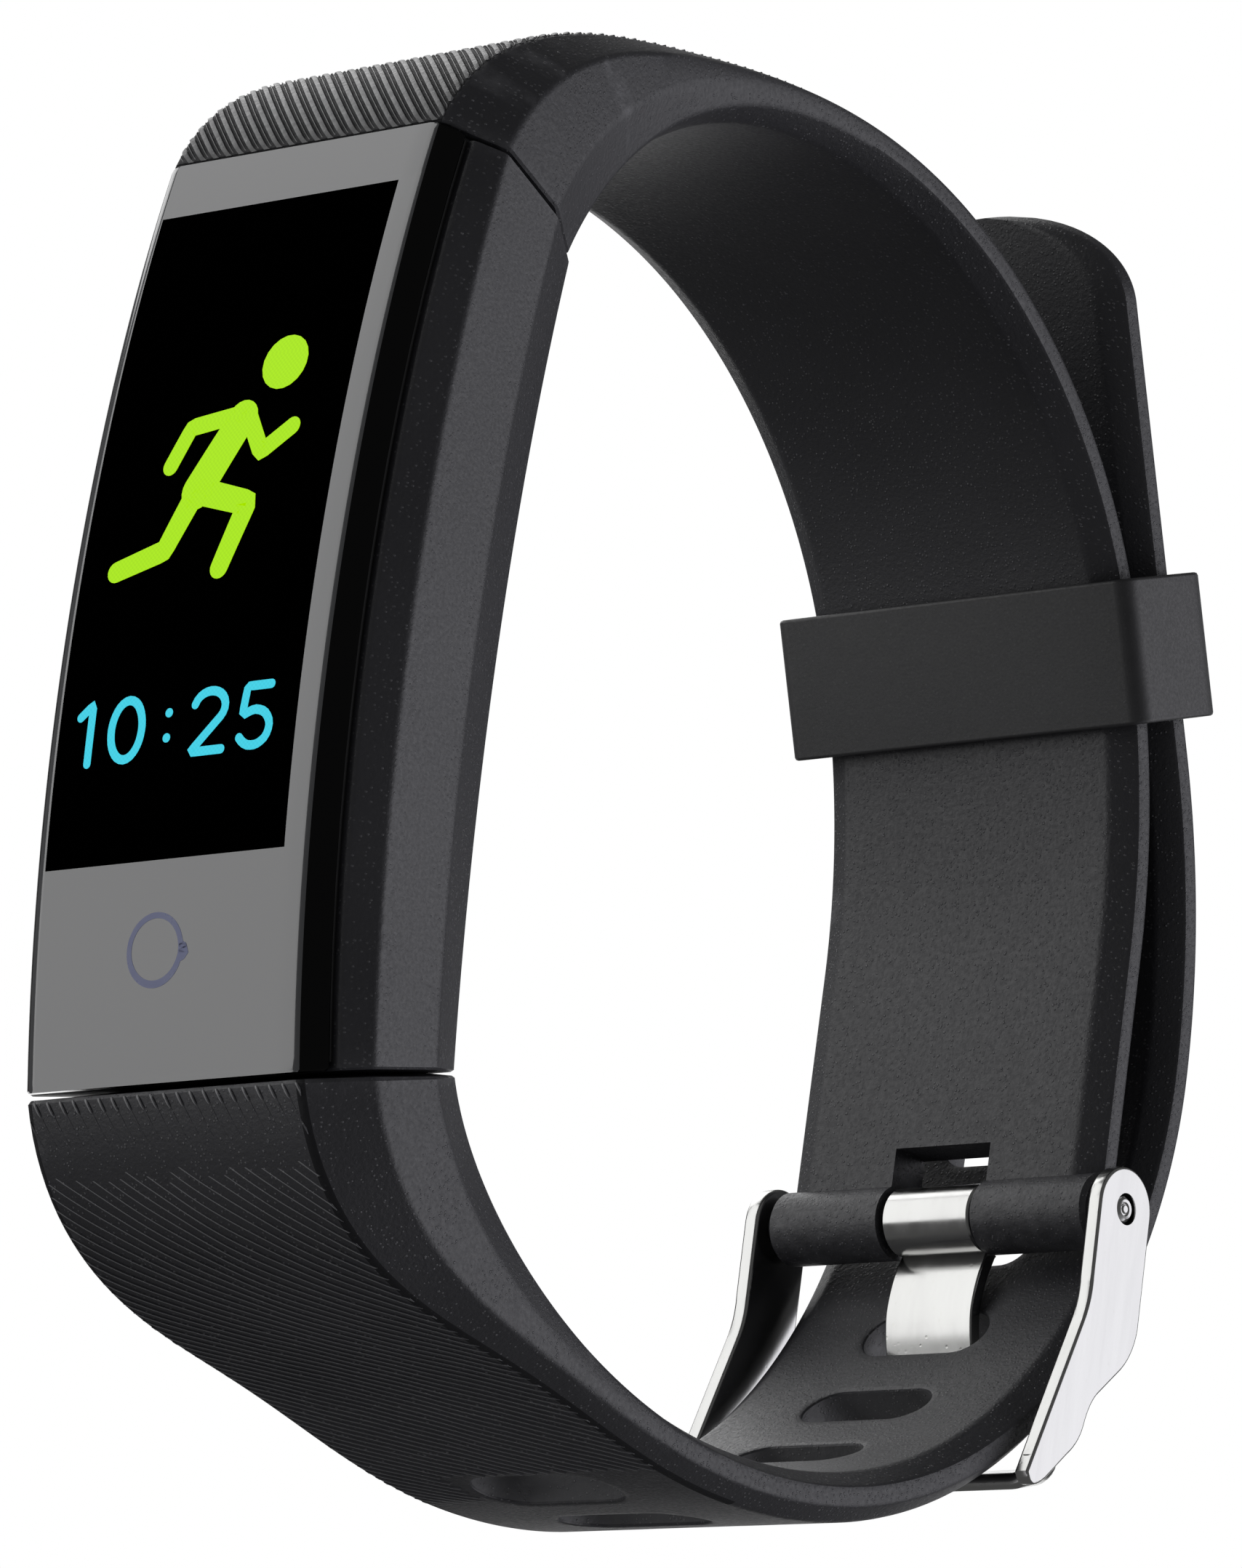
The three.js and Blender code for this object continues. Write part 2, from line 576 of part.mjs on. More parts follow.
add('display_lens', makeLens(), 'lensGlass');
add('lens_adhesive', makeLensAdhesive(), 'adhesive');
add('display_panel', block(PANEL), 'display');
add('display_flex', makeDisplayFlex(), 'flex');
add('touch_key_pad', roundAlongY(TOUCH_PAD.radius, 0, TOUCH_PAD.z, ...TOUCH_PAD.y, 20), 'flex');
add('middle_housing', makeMiddleHousing(), 'housing');
add('rear_cover', makeRearCover(), 'housing');
add('rear_cover_gasket', makeCoverGasket(), 'adhesive');
add('sensor_window', makeSensorWindow(), 'window');
SCREW_PLACES.forEach(([x, z], i) => add(`cover_screw_${i + 1}`, makeScrew(x, z), 'steel'));

add('main_board', plate(MAIN_BOARD), 'board');
add('processor_chip', block(PROCESSOR), 'chip');
add('memory_chip', block(MEMORY), 'chip');
add('motion_sensor', block(MOTION_SENSOR), 'chip');
add('vibration_motor', roundAlongY(MOTOR.radius, MOTOR.x, MOTOR.z, ...MOTOR.y, 24), 'steel');
add('battery_cell', plate(BATTERY), 'cell');
add('heart_sensor_board', plate(HEART_BOARD), 'board');
[-1, 1].forEach((side, i) => {
  const x = side * HEART_LED.spread;
  const led = box([x - HEART_LED.half, x + HEART_LED.half], HEART_LED.y, HEART_LED.z);
  add(`heart_led_${i + 1}`, led, 'diode');
});
add('heart_photodiode', block(PHOTODIODE), 'chip');

const plugTongue = { x: [-TONGUE.x, TONGUE.x], y: [TONGUE.front, TONGUE.back], z: [-TONGUE.reach, -17.6] };
add('charging_tongue', block(plugTongue), 'chip');
for (let i = 0; i < CONTACT.count; i += 1) {
  const x = (i - (CONTACT.count - 1) / 2) * CONTACT.pitch;
  const contact = box([x - CONTACT.half, x + CONTACT.half], CONTACT.y, CONTACT.z);
  add(`charging_contact_${i + 1}`, contact, 'gold');
}

add('upper_strap', makeUpperStrap(), 'rubber');
add('lower_strap', makeLowerStrap(), 'rubber');
add('strap_keeper', makeKeeper(), 'rubber');
add('buckle_frame', makeBuckleFrame(), 'steel');
add('buckle_prong', makeProng(), 'steel');
add('buckle_pin', makePin(), 'steel');

const model = new THREE.Group();
model.add(band);

export default model;
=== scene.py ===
import json
import math

import bmesh
import bpy
import numpy as np
from mathutils import Matrix, Vector


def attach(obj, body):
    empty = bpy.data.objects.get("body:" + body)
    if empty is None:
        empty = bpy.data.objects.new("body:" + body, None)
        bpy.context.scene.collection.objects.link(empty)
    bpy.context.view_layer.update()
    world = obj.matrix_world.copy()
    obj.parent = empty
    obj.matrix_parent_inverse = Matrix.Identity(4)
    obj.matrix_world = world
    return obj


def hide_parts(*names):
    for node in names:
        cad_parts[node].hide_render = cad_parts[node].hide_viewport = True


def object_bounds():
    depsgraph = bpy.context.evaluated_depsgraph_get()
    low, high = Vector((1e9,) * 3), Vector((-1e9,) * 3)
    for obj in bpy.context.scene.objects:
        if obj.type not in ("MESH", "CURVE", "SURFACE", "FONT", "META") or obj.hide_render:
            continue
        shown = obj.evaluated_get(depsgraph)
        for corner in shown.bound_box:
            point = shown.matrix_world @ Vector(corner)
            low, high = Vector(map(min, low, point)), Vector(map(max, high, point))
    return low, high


# The looks of a fitness tracker band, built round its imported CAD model.
#
# Shapes are drawn in millimetres in the CAD design's own drawing frame and moved to the row frame
# (metres) when a piece is finished. In the drawing frame X is the band's width, Y runs from the
# display towards the wrist, and Z points to the display's top. The CAD design's keeper turns about
# the middle of the loop's back arc, so that joint ties the two frames together.

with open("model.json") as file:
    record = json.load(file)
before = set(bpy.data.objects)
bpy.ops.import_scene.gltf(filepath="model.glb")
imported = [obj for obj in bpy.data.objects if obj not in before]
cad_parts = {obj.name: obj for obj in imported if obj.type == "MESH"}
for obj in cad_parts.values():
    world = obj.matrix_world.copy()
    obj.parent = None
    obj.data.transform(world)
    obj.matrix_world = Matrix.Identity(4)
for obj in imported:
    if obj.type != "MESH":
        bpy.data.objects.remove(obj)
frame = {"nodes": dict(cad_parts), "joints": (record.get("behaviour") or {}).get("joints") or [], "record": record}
cad_low, cad_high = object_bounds()

MM = 0.001
JOINTS = {joint["name"]: joint for joint in frame["joints"]}
BACK_ARC = {"y": 16.3, "z": 0.0, "radius": 36.0, "turn": 24.0}
keeper_centre = Vector(JOINTS["keeper_slide"]["pos_m"])
drawing_origin = keeper_centre - Vector((0, BACK_ARC["y"], BACK_ARC["z"])) * MM
TO_ROW = Matrix.Translation(drawing_origin) @ Matrix.Scale(MM, 4)
pin_centre = (Vector(JOINTS["prong_swing"]["pos_m"]) - drawing_origin) / MM
PIN = {"y": pin_centre.y, "z": pin_centre.z}

# ---- sizes, in millimetres

# Lines along the module: half width, and depth at the middle and at the ends.
LINE = {
    "lens_front": (7.64, -2.0, 0.0),
    "lens_back": (8.59, -1.0, 1.0),
    "rim": (8.66, -0.75, 1.25),
    "shoulder": (9.74, 0.55, 2.3),
    "waist": (9.62, 4.75, 6.15),
    "back_edge": (8.24, 7.8, 8.8),
}
HALF_LENGTH = 21.0

# The module's two end planes: height at depth 0, and how much it falls with each mm of depth.
# The straps end a seam's width beyond them. A dark collar on the upper tongue fills the upper seam.
MODULE_END = {"top": (20.94, 0.37), "bottom": (21.04, 0.283)}
UPPER_STRAP_END = (21.09, 0.3571)
ROOT_EXTRA = 0.22
COLLAR_INSET = 0.5
SCREEN = {"left": -7.22, "right": 6.3, "bottom": -11.7, "top": 18.25}

# The lines along a strap, from the wrist side: half width and depth where it is thin and where it meets
# the module, and the length over which the line thins out.
SECTION = {
    "flat": ((7.7, 0.0), (7.1, 0.0), 10.0),
    "inner": ((9.0, 0.7), (8.24, 0.05), 10.0),
    "side": ((9.0, 1.15), (9.62, 2.86), 12.0),
    "outer": ((9.0, 1.55), (9.74, 6.75), 10.0),
    "crown": ((7.9, 2.25), (7.64, 9.2), 9.2),
}
ROOT_DEPTH = SECTION["crown"][1][1]
EDGE_ROUND = 0.22
END_ROUND = 0.1

SLOT = {"pitch": 5.72, "before": 5, "after": 7, "lip": 0.13}
SLOT_SIZE = {"wrist": (6.95, 2.8), "outer": (7.6, 3.45)}
PRONG_SLOT = (52.75, -18.0)
TIP = {"length": 5.0, "power": 0.45, "last": 0.985}
TAIL = {"y": 56.9, "z": -4.5, "radius": 38.7, "lean": 22.0, "top": 34.2}
TONGUE = {"x": 6.2, "front": 4.4, "back": 7.0, "deep": 6.5}

# The buckle's sheet, across the band. The crossbar's ends bend up into the arms.
ARM = {"inside": 9.6, "outside": 10.4, "soft": 0.16}
CROSSBAR = {
    "y": 49.75,
    "z": -25.85,
    "lean": 20.0,
    "half_length": 10.0,
    "width": 2.1,
    "thick": 0.77,
    "bend": 1.15,
    "reach": 0.05,
}
PRONG = {"half": 2.5, "roll": 1.6, "thick": 0.7}
KEEPER = {
    "half": 10.46,
    "inner_half": 9.6,
    "depth": 6.9,
    "height": 6.75,
    "wall": 0.6,
    "soft": 0.16,
    "turn": 22.0,
}

# The straps' relief near the module.
RIBBED_LENGTH = 26.0
RIB = {"pitch": 0.735, "deep": 0.12, "fade": 0.3}
UPPER_LEAN = 1.42
FINE_LINE = {"pitch": 0.8, "high": 0.06, "half": 0.12, "start": 1.9, "end": 24.5}
BURIED = 0.1
LEAST_SHARE = 0.02


# ---- plane curves


def bezier(*controls, count=240):
    """A curve through its first and last control points, pulled towards the others."""
    t = np.linspace(0, 1, count)[:, None]
    points = [np.array(p, float) for p in controls]
    while len(points) > 1:
        points = [a * (1 - t) + b * t for a, b in zip(points, points[1:])]
    return points[0]


def arc(centre, radius, start, end, count=160):
    t = np.radians(np.linspace(start, end, count))
    return np.stack([centre[0] + radius * np.cos(t), centre[1] + radius * np.sin(t)], 1)


def straight(a, b, count=80):
    return bezier(a, b, count=count)


def directions(points):
    """The unit tangents along a polyline."""
    tangents = np.gradient(points, axis=0)
    return tangents / np.linalg.norm(tangents, axis=1)[:, None]


def turned(tangents):
    """Each tangent turned a quarter to the left."""
    return np.stack([-tangents[..., 1], tangents[..., 0]], -1)


class Path:
    """A plane curve by its length, with the normal that points to the strap's outer side."""

    def __init__(self, parts, outward):
        points = np.concatenate([parts[0]] + [part[1:] for part in parts[1:]])
        steps = np.linalg.norm(np.diff(points, axis=0), axis=1)
        self.points = points
        self.lengths = np.concatenate([[0], np.cumsum(steps)])
        self.length = self.lengths[-1]
        tangents = np.gradient(points, self.lengths, axis=0)
        self.tangents = tangents / np.linalg.norm(tangents, axis=1)[:, None]
        self.outward = outward

    def at(self, distance):
        distance = np.asarray(distance, float)
        point, tangent = (
            np.stack([np.interp(distance, self.lengths, v[:, i]) for i in (0, 1)], -1)
            for v in (self.points, self.tangents)
        )
        return point, turned(tangent) * self.outward

    def nearest(self, point):
        gaps = np.linalg.norm(self.points - np.array(point), axis=1)
        return self.lengths[gaps.argmin()]


def upper_path():
    back = BACK_ARC["y"] + BACK_ARC["radius"]
    turn = BACK_ARC["turn"]
    start = np.array((8.75, 18.2))
    ahead = np.array((2.25, 6.3)) / math.hypot(2.25, 6.3)
    parts = [
        straight(start - ahead * ROOT_EXTRA, start, 3),
        bezier(start, (11, 24.5), (16.95, 29.4), (26.45, 29.4)),
        arc((26.45, 4.5), 24.9, 90, turn),
        arc((BACK_ARC["y"], BACK_ARC["z"]), BACK_ARC["radius"], turn, 0),
        straight((back, BACK_ARC["z"]), (back, PIN["z"] + 0.6)),
    ]
    return Path(parts, outward=1)


def lower_path():
    lean = math.radians(TAIL["lean"])
    centre = TAIL["y"] - TAIL["radius"]
    bend = (centre + TAIL["radius"] * math.cos(lean), TAIL["z"] + TAIL["radius"] * math.sin(lean))
    rise = TAIL["top"] - bend[1]
    parts = [
        bezier((8.75, -18.2), (11, -24.5), (20.5, -29.4), (30, -29.4)),
        bezier((30, -29.4), (47.5, -29.4), (TAIL["y"], -16.1), (TAIL["y"], TAIL["z"])),
        arc((centre, TAIL["z"]), TAIL["radius"], 0, TAIL["lean"]),
        straight(bend, (bend[0] - rise * math.tan(lean), TAIL["top"])),
    ]
    return Path(parts, outward=-1)


def rounded(corners, radius, closed=False):
    """A polyline with each corner turned into three points of a small curve."""
    corners = np.asarray(corners, float)
    points = []
    count = len(corners)
    for i, corner in enumerate(corners):
        if not closed and i in (0, count - 1):
            points.append(corner)
            continue
        back, on = corners[i - 1] - corner, corners[(i + 1) % count] - corner
        lengths = np.linalg.norm(back), np.linalg.norm(on)
        reach = min(radius, 0.4 * lengths[0], 0.4 * lengths[1])
        start, end = corner + back / lengths[0] * reach, corner + on / lengths[1] * reach
        points += [start, 0.25 * start + 0.5 * corner + 0.25 * end, end]
    return np.array(points)


# ---- meshes


def mesh_from(name, points, faces):
    mesh = bpy.data.meshes.new(name)
    mesh.from_pydata([tuple(p) for p in points], [], [tuple(f) for f in faces])
    mesh.update()
    return mesh


def add_object(name, data):
    made = bpy.data.objects.new(name, data)
    bpy.context.scene.collection.objects.link(made)
    return made


def tidy_mesh(mesh, merge=1e-4):
    """Merges doubles, drops loose points, and turns every face outwards."""
    bm = bmesh.new()
    bm.from_mesh(mesh)
    bmesh.ops.remove_doubles(bm, verts=bm.verts, dist=merge)
    loose = [v for v in bm.verts if not v.link_faces]
    bmesh.ops.delete(bm, geom=loose, context="VERTS")
    bmesh.ops.recalc_face_normals(bm, faces=bm.faces)
    bm.to_mesh(mesh)
    bm.free()


def combine(base, joined, cutters):
    """Joins and cuts solids that are still in millimetres, and removes the tools."""
    tools = [("UNION", tool) for tool in joined] + [("DIFFERENCE", tool) for tool in cutters]
    for operation, tool in tools:
        step = base.modifiers.new(operation.lower(), "BOOLEAN")
        step.operation = operation
        step.solver = "EXACT"
        step.object = tool
    bpy.context.view_layer.update()
    depsgraph = bpy.context.evaluated_depsgraph_get()
    result = bpy.data.meshes.new_from_object(base.evaluated_get(depsgraph))
    base.modifiers.clear()
    base.data = result
    for _, tool in tools:
        bpy.data.objects.remove(tool)


def solid(name, points, faces, merge=1e-4):
    mesh = mesh_from(name, points, faces)
    tidy_mesh(mesh, merge)
    return add_object(name, mesh)


def shrunk(section, amount, by=None):
    """A section made smaller by an even amount where it, or the one given in by, is widest and deepest."""
    by = section if by is None else by
    middle = np.array((0, by[:, 1].mean()))
    size = np.array((by[:, 0].max(), np.ptp(by[:, 1]) / 2))
    return middle + (section - middle) * (1 - amount / size)


def both_sides(right):
    """A closed section from the points of its right half."""
    return np.array([*right, *[(-x, y) for x, y in right[::-1]]])


def bridge(near, far):
    """Quads between two closed loops of equally many points."""
    count = len(near)
    return [(near[i], near[(i + 1) % count], far[(i + 1) % count], far[i]) for i in range(count)]


def rings_to_faces(rings, size):
    """Quads between rings of equally many points, numbered ring by ring."""
    loops = [range(ring * size, (ring + 1) * size) for ring in range(rings)]
    return [face for near, far in zip(loops, loops[1:]) for face in bridge(near, far)]


def tube_faces(rings, size):
    """Those quads, and a flat face on each end."""
    last = (rings - 1) * size
    return [*rings_to_faces(rings, size), tuple(range(size))[::-1], tuple(range(last, last + size))]


def loft(name, rings, merge=1e-4):
    """A closed form through rings of equally many points."""
    return solid(name, [p for ring in rings for p in ring], tube_faces(len(rings), len(rings[0])), merge)


def prism(name, outline, low, high, along="x"):
    """An outline in Y and Z, or in X and Z with along="y", as thick as the stretch given."""
    if along == "x":
        return loft(name, [[(x, y, z) for y, z in outline] for x in (low, high)])
    return loft(name, [[(x, y, z) for x, z in outline] for y in (low, high)])


def pin_circle(x, radius, count):
    """A circle round the buckle pin's axis."""
    return [(x, y, z) for y, z in arc((PIN["y"], PIN["z"]), radius, 0, 360, count + 1)[:-1]]


def pin_rod(name, radius, reach, edge=0.0, count=48):
    """A round bar on the pin's axis, reach long each way, with softened ends."""
    stations = [(-reach, radius), (reach, radius)]
    if edge:
        ends = [(-reach, radius - edge), (-reach + edge, radius)]
        stations = ends + [(-x, r) for x, r in reversed(ends)]
    return loft(name, [pin_circle(x, r, count) for x, r in stations])


def rectangle(x0, x1, y0, y1, radius, steps=6):
    """A rectangle with round corners, counter-clockwise."""
    left, right, low, high = x0 + radius, x1 - radius, y0 + radius, y1 - radius
    corners = ((right, low, -90), (right, high, 0), (left, high, 90), (left, low, 180))
    return np.concatenate([arc((x, y), radius, start, start + 90, steps + 1) for x, y, start in corners])


# ---- procedural materials


class Nodes:
    """A node tree, with the node patterns that the finishes share."""

    def __init__(self, tree):
        self.tree = tree

    def make(self, kind, *sources, **values):
        """A node with its values set, and its first sockets linked to the sources."""
        made = self.tree.nodes.new(kind)
        for key, value in values.items():
            made.inputs[key.replace("_", " ")].default_value = value
        for socket, source in zip(made.inputs, sources):
            self.tree.links.new(source, socket)
        return made

    def place(self):
        """The place on the piece, in the row frame's own metres."""
        return self.make("ShaderNodeTexCoord").outputs["Object"]

    def spread(self, source, low, high, to_low, to_high):
        """Maps a value from one range to another, held at its ends."""
        ranges = {"From_Min": low, "From_Max": high, "To_Min": to_low, "To_Max": to_high}
        return self.make("ShaderNodeMapRange", source, **ranges).outputs["Result"]

    def noise(self, scale, detail=2.0, roughness=0.5, stretch=(1, 1, 1)):
        """Noise: scale counts its lumps in each metre."""
        mapped = self.make("ShaderNodeMapping", self.place(), Scale=stretch).outputs["Vector"]
        made = self.make("ShaderNodeTexNoise", mapped, Scale=scale, Detail=detail, Roughness=roughness)
        return made.outputs["Fac"]

    def specks(self, scale, size, share=0.5):
        """1 at scattered small dots and 0 between them. share says how many of the cells have one."""
        cells = self.make("ShaderNodeTexVoronoi", self.place(), Scale=scale)
        near = self.spread(cells.outputs["Distance"], size, size * 0.5, 0, 1)
        each = self.make("ShaderNodeSeparateColor", cells.outputs["Color"])
        return self.times(near, self.spread(each.outputs["Red"], 1 - share, 1 - share * 0.5, 0, 1))

    def edge_wear_and_highlight(self):
        """Rises from 0 to 1 on outward edges, in patches: rubbed wear, and a painted highlight along the edges."""
        geometry = self.make("ShaderNodeNewGeometry")
        worn_and_lit = self.spread(geometry.outputs["Pointiness"], 0.52, 0.6, 0, 1)
        return self.times(worn_and_lit, self.spread(self.noise(1400, 3.0), 0.35, 0.65, 0.2, 1))

    def times(self, a, b):
        return self.arithmetic("MULTIPLY", a, b)

    def plus(self, a, b):
        return self.arithmetic("ADD", a, b)

    def arithmetic(self, operation, a, b):
        made = self.make("ShaderNodeMath", a)
        made.operation = operation
        if isinstance(b, float):
            made.inputs[1].default_value = b
        else:
            self.tree.links.new(b, made.inputs[1])
        return made.outputs["Value"]

    def tint(self, share, low, high):
        """A colour from low to high by share."""
        made = self.make("ShaderNodeMix", share)
        made.data_type = "RGBA"
        made.inputs[6].default_value = (*low, 1)
        made.inputs[7].default_value = (*high, 1)
        return made.outputs[2]


class Finish(Nodes):
    """A material, built up round its one Principled shader."""

    def __init__(self, name, color, roughness, metallic=0.0):
        self.material = bpy.data.materials.new(name)
        self.material.use_nodes = True
        super().__init__(self.material.node_tree)
        self.shader = self.tree.nodes["Principled BSDF"]
        self.set("Base Color", (*color, 1))
        self.set("Roughness", roughness)
        self.set("Metallic", metallic)

    def set(self, socket, value):
        self.shader.inputs[socket].default_value = value

    def drive(self, socket, source):
        self.tree.links.new(source, self.shader.inputs[socket])

    def bump(self, height, depth):
        """Relief, with its depth in millimetres."""
        made = self.make("ShaderNodeBump", Strength=1.0, Distance=depth * MM)
        self.tree.links.new(height, made.inputs["Height"])
        self.drive("Normal", made.outputs["Normal"])


def moulded(name, dark, light, rough, grain, depth, dots=0.35, wear_and_highlight=0.3, level=0.5):
    """Moulded rubber or plastic: fine spark grain, pale specks, and edges lighter, partly rubbed wear and partly a
    painted highlight.
    """
    made = Finish(name, dark, rough)
    fine = made.noise(grain, 3.0, 0.6)
    broad = made.spread(made.noise(90, 3.0), 0.3, 0.7, 0.0, 0.12)
    dust = made.times(made.specks(2200, 0.16, 0.16), dots * 1.6)
    speck = made.plus(made.times(made.specks(5200, 0.34, 0.5), dots), dust)
    # Lighter edges: rubbed wear and a painted edge highlight.
    share = made.plus(made.plus(made.times(made.edge_wear_and_highlight(), wear_and_highlight), speck), broad)
    made.drive("Base Color", made.tint(share, dark, light))
    made.drive("Roughness", made.spread(fine, 0.3, 0.7, rough - 0.07, rough + 0.09))
    made.bump(made.plus(fine, made.times(speck, 1.5)), depth)
    made.set("Specular IOR Level", level)
    return made.material


def polished_steel(name, color, rough, pits):
    """Polished sheet metal: faint long rolling marks and a few tiny pits."""
    made = Finish(name, color, rough, metallic=1.0)
    marks = made.noise(900, 4.0, 0.6, stretch=(1, 1, 0.12))
    pit = made.specks(2600, 0.22)
    made.drive("Roughness", made.spread(marks, 0.3, 0.7, rough - 0.04, rough + 0.07))
    made.drive("Base Color", made.tint(made.times(pit, pits), color, (0.42, 0.42, 0.4)))
    made.bump(made.plus(made.times(marks, 0.5), made.times(pit, -0.6)), 0.004)
    return made.material


def glossy(name, color, rough, level, dust=0.0):
    """A glossy cover: a little dust in its colour, and a very faint waviness."""
    made = Finish(name, color, rough)
    broad = made.noise(60, 2.0)
    lighter = tuple(c + dust for c in color)
    made.drive("Base Color", made.tint(made.spread(broad, 0.3, 0.7, 0, 0.5), color, lighter))
    made.drive("Roughness", made.spread(made.noise(2400, 2.0), 0.3, 0.7, rough, rough + 0.05))
    made.bump(broad, 0.002)
    made.set("Specular IOR Level", level)
    return made.material


def lit(name, color):
    """A lit part of the display, with a very fine pixel grid."""
    made = Finish(name, (0.0, 0.0, 0.0), 0.4)
    grid = made.make("ShaderNodeTexChecker", made.place(), Scale=9000)
    dim = tuple(c * 0.93 for c in color)
    made.drive("Emission Color", made.tint(grid.outputs["Fac"], dim, color))
    made.set("Emission Strength", 0.95)
    made.set("Specular IOR Level", 0.1)
    return made.material


def plain_detail(name, color, rough, metallic=0.0):
    """A print or an inner piece: its colour with a slight mottle and a fine surface grain."""
    made = Finish(name, color, rough, metallic)
    fine = made.noise(1500, 3.0)
    lighter = tuple(min(1, c * 1.25 + 0.01) for c in color)
    made.drive("Base Color", made.tint(fine, color, lighter))
    made.drive("Roughness", made.spread(fine, 0.3, 0.7, rough - 0.05, rough + 0.08))
    made.bump(fine, 0.004)
    return made.material


# Each moulded finish: dark and light colour, roughness, lumps of grain in a metre, and its depth in mm.
RUBBER = moulded(
    "strap_rubber", (0.018, 0.018, 0.0215), (0.11, 0.11, 0.118), 0.5, 5200, 0.03, dots=0.6, wear_and_highlight=0.45
)
# The slot wall finish is a lighter copy of the strap rubber: painted light on the walls of the slots.
SLOT_WALL_LIT = moulded("strap_slot_wall_painted_light", (0.07, 0.07, 0.074), (0.2, 0.2, 0.205), 0.62, 3000, 0.05, dots=0.6)
RIBBED = moulded("strap_ribs", (0.03, 0.03, 0.032), (0.1, 0.1, 0.1), 0.45, 4200, 0.01)
# The crest finish is far lighter than the strap rubber: a painted highlight along the crests of the lower strap's
# knobs and fine lines.
RIB_CREST_HIGHLIGHT = moulded("strap_rib_crest_painted_highlight", (0.17, 0.17, 0.178), (0.3, 0.3, 0.3), 0.42, 5200, 0.008)
# The groove finish is darker than the strap rubber: painted shade between the ribs and in the creases along the
# outer face's edges.
GROOVE_SHADE = moulded("strap_groove_painted_shade", (0.01, 0.01, 0.0115), (0.035, 0.035, 0.037), 0.7, 4200, 0.01, level=0.2)
HOUSING = moulded("housing_plastic", (0.019, 0.019, 0.0225), (0.09, 0.09, 0.097), 0.46, 6000, 0.02, dots=0.5)
KEEPER_RUBBER = moulded(
    "keeper_rubber", (0.02, 0.02, 0.0215), (0.075, 0.075, 0.078), 0.52, 7000, 0.006, dots=0.15
)
STEEL = polished_steel("buckle_steel", (0.43, 0.43, 0.422), 0.2, 0.6)
LENS = glossy("lens_border", (0.056, 0.057, 0.06), 0.08, 0.9, dust=0.014)
LENS_SIDE = glossy("lens_side", (0.0006, 0.0006, 0.0007), 0.06, 0.22, dust=0.0005)
SCREEN_BLACK = glossy("screen_black", (0.0002, 0.0002, 0.0002), 0.3, 0.0)
KEY_RING = plain_detail("key_ring_print", (0.06, 0.075, 0.19), 0.3)
LIT_GREEN = lit("lit_yellow_green", (0.42, 0.85, 0.0))
LIT_CYAN = lit("lit_cyan", (0.05, 0.67, 0.84))


# ---- finishing a piece


def finish_piece(piece, body, replaced, materials, sharp=35.0):
    """Moves a piece from millimetres in the drawing frame to its place, and gives it its looks."""
    piece.data.transform(TO_ROW)
    for made in materials:
        piece.data.materials.append(made)
    piece.data.shade_smooth()
    piece.data.set_sharp_from_angle(angle=math.radians(sharp))
    normals = piece.modifiers.new("weighted_normals", "WEIGHTED_NORMAL")
    normals.keep_sharp = True
    normals.weight = 60
    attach(piece, body)
    if replaced:
        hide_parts(*replaced)
    return piece


# ---- the straps


class Strap:
    """A strap's surface: its section blends from a deep root at the module to a thin band."""

    def __init__(self, path, sunk=0.0, slant=0.0):
        self.path = path
        self.sunk = sunk  # how far the outer face lies under the tops of its ribs
        self.slant = slant  # how far the root's wrist side is cut back

    def half_section(self, distance):
        corners = []
        for thin, root, length in SECTION.values():
            share = math.exp(-((distance / length) ** 2))
            corners.append([a + (b - a) * share for a, b in zip(thin, root)])
        past_ribs = (distance - RIBBED_LENGTH) / 4.0
        corners[-1][1] -= self.sunk * (1.0 - min(1.0, max(0.0, past_ribs)))
        return corners

    def place(self, x, depth, distance):
        if self.slant:
            depth_share = 1 - depth / ROOT_DEPTH
            distance += self.slant * depth_share * math.exp(-((distance / 3.0) ** 2))
        point, normal = self.path.at(distance)
        return (x, *(point + normal * depth))

    def width_scale(self, distance):
        left = self.path.length - distance
        if self.path.outward > 0 or left >= TIP["length"]:
            return 1.0
        return max(0.0, 1 - (1 - left / TIP["length"]) ** 2) ** TIP["power"]

    def profile(self, distance):
        """The right half's points: from the wrist face's edge round to the outer face's edge."""
        corners = self.half_section(distance)
        points = rounded([(0, corners[0][1]), *corners, (0, corners[-1][1])], EDGE_ROUND)[1:-1]
        points[:, 0] *= self.width_scale(distance)
        return points

    def ring(self, distance, columns, shrink=0.0):
        """One ring: wrist face left to right, right side, outer face right to left, left side."""
        half = self.profile(distance)
        share = np.linspace(-1, 1, columns)
        wrist = [(half[0][0] * s, half[0][1]) for s in share]
        outer = [(-half[-1][0] * s, half[-1][1]) for s in share]
        side = [tuple(p) for p in half[1:-1]]
        left = [(-x, d) for x, d in reversed(side)]
        section = np.array(wrist + side + outer + left)
        if shrink:
            section = shrunk(section, shrink, by=half)
        return [self.place(x, depth, distance) for x, depth in section]

    def outer_point(self, x, distance, height):
        corners = self.half_section(distance)
        limit = corners[-1][0] - 0.02
        x = min(limit, max(-limit, x))
        return self.place(x, corners[-1][1] + height, distance)


def stadium(x, s, length, width, grow=0.0):
    """The point of a slot's outline on the ray towards (x, s), moved outwards by grow."""
    radius = width / 2
    straight_half = length / 2 - radius
    angle = math.atan2(s, x)
    dx, ds = math.cos(angle), math.sin(angle)
    if abs(ds) > 1e-9 and abs(dx / ds) * radius <= straight_half:
        px, ps = dx / abs(ds) * radius, math.copysign(radius, ds)
        normal = (0.0, math.copysign(1.0, ds))
    else:
        centre = math.copysign(straight_half, dx)
        b = dx * centre
        reach = b + math.sqrt(max(0.0, b * b - centre * centre + radius * radius))
        px, ps = dx * reach, ds * reach
        normal = ((px - centre) / radius, ps / radius)
    return px + normal[0] * grow, ps + normal[1] * grow


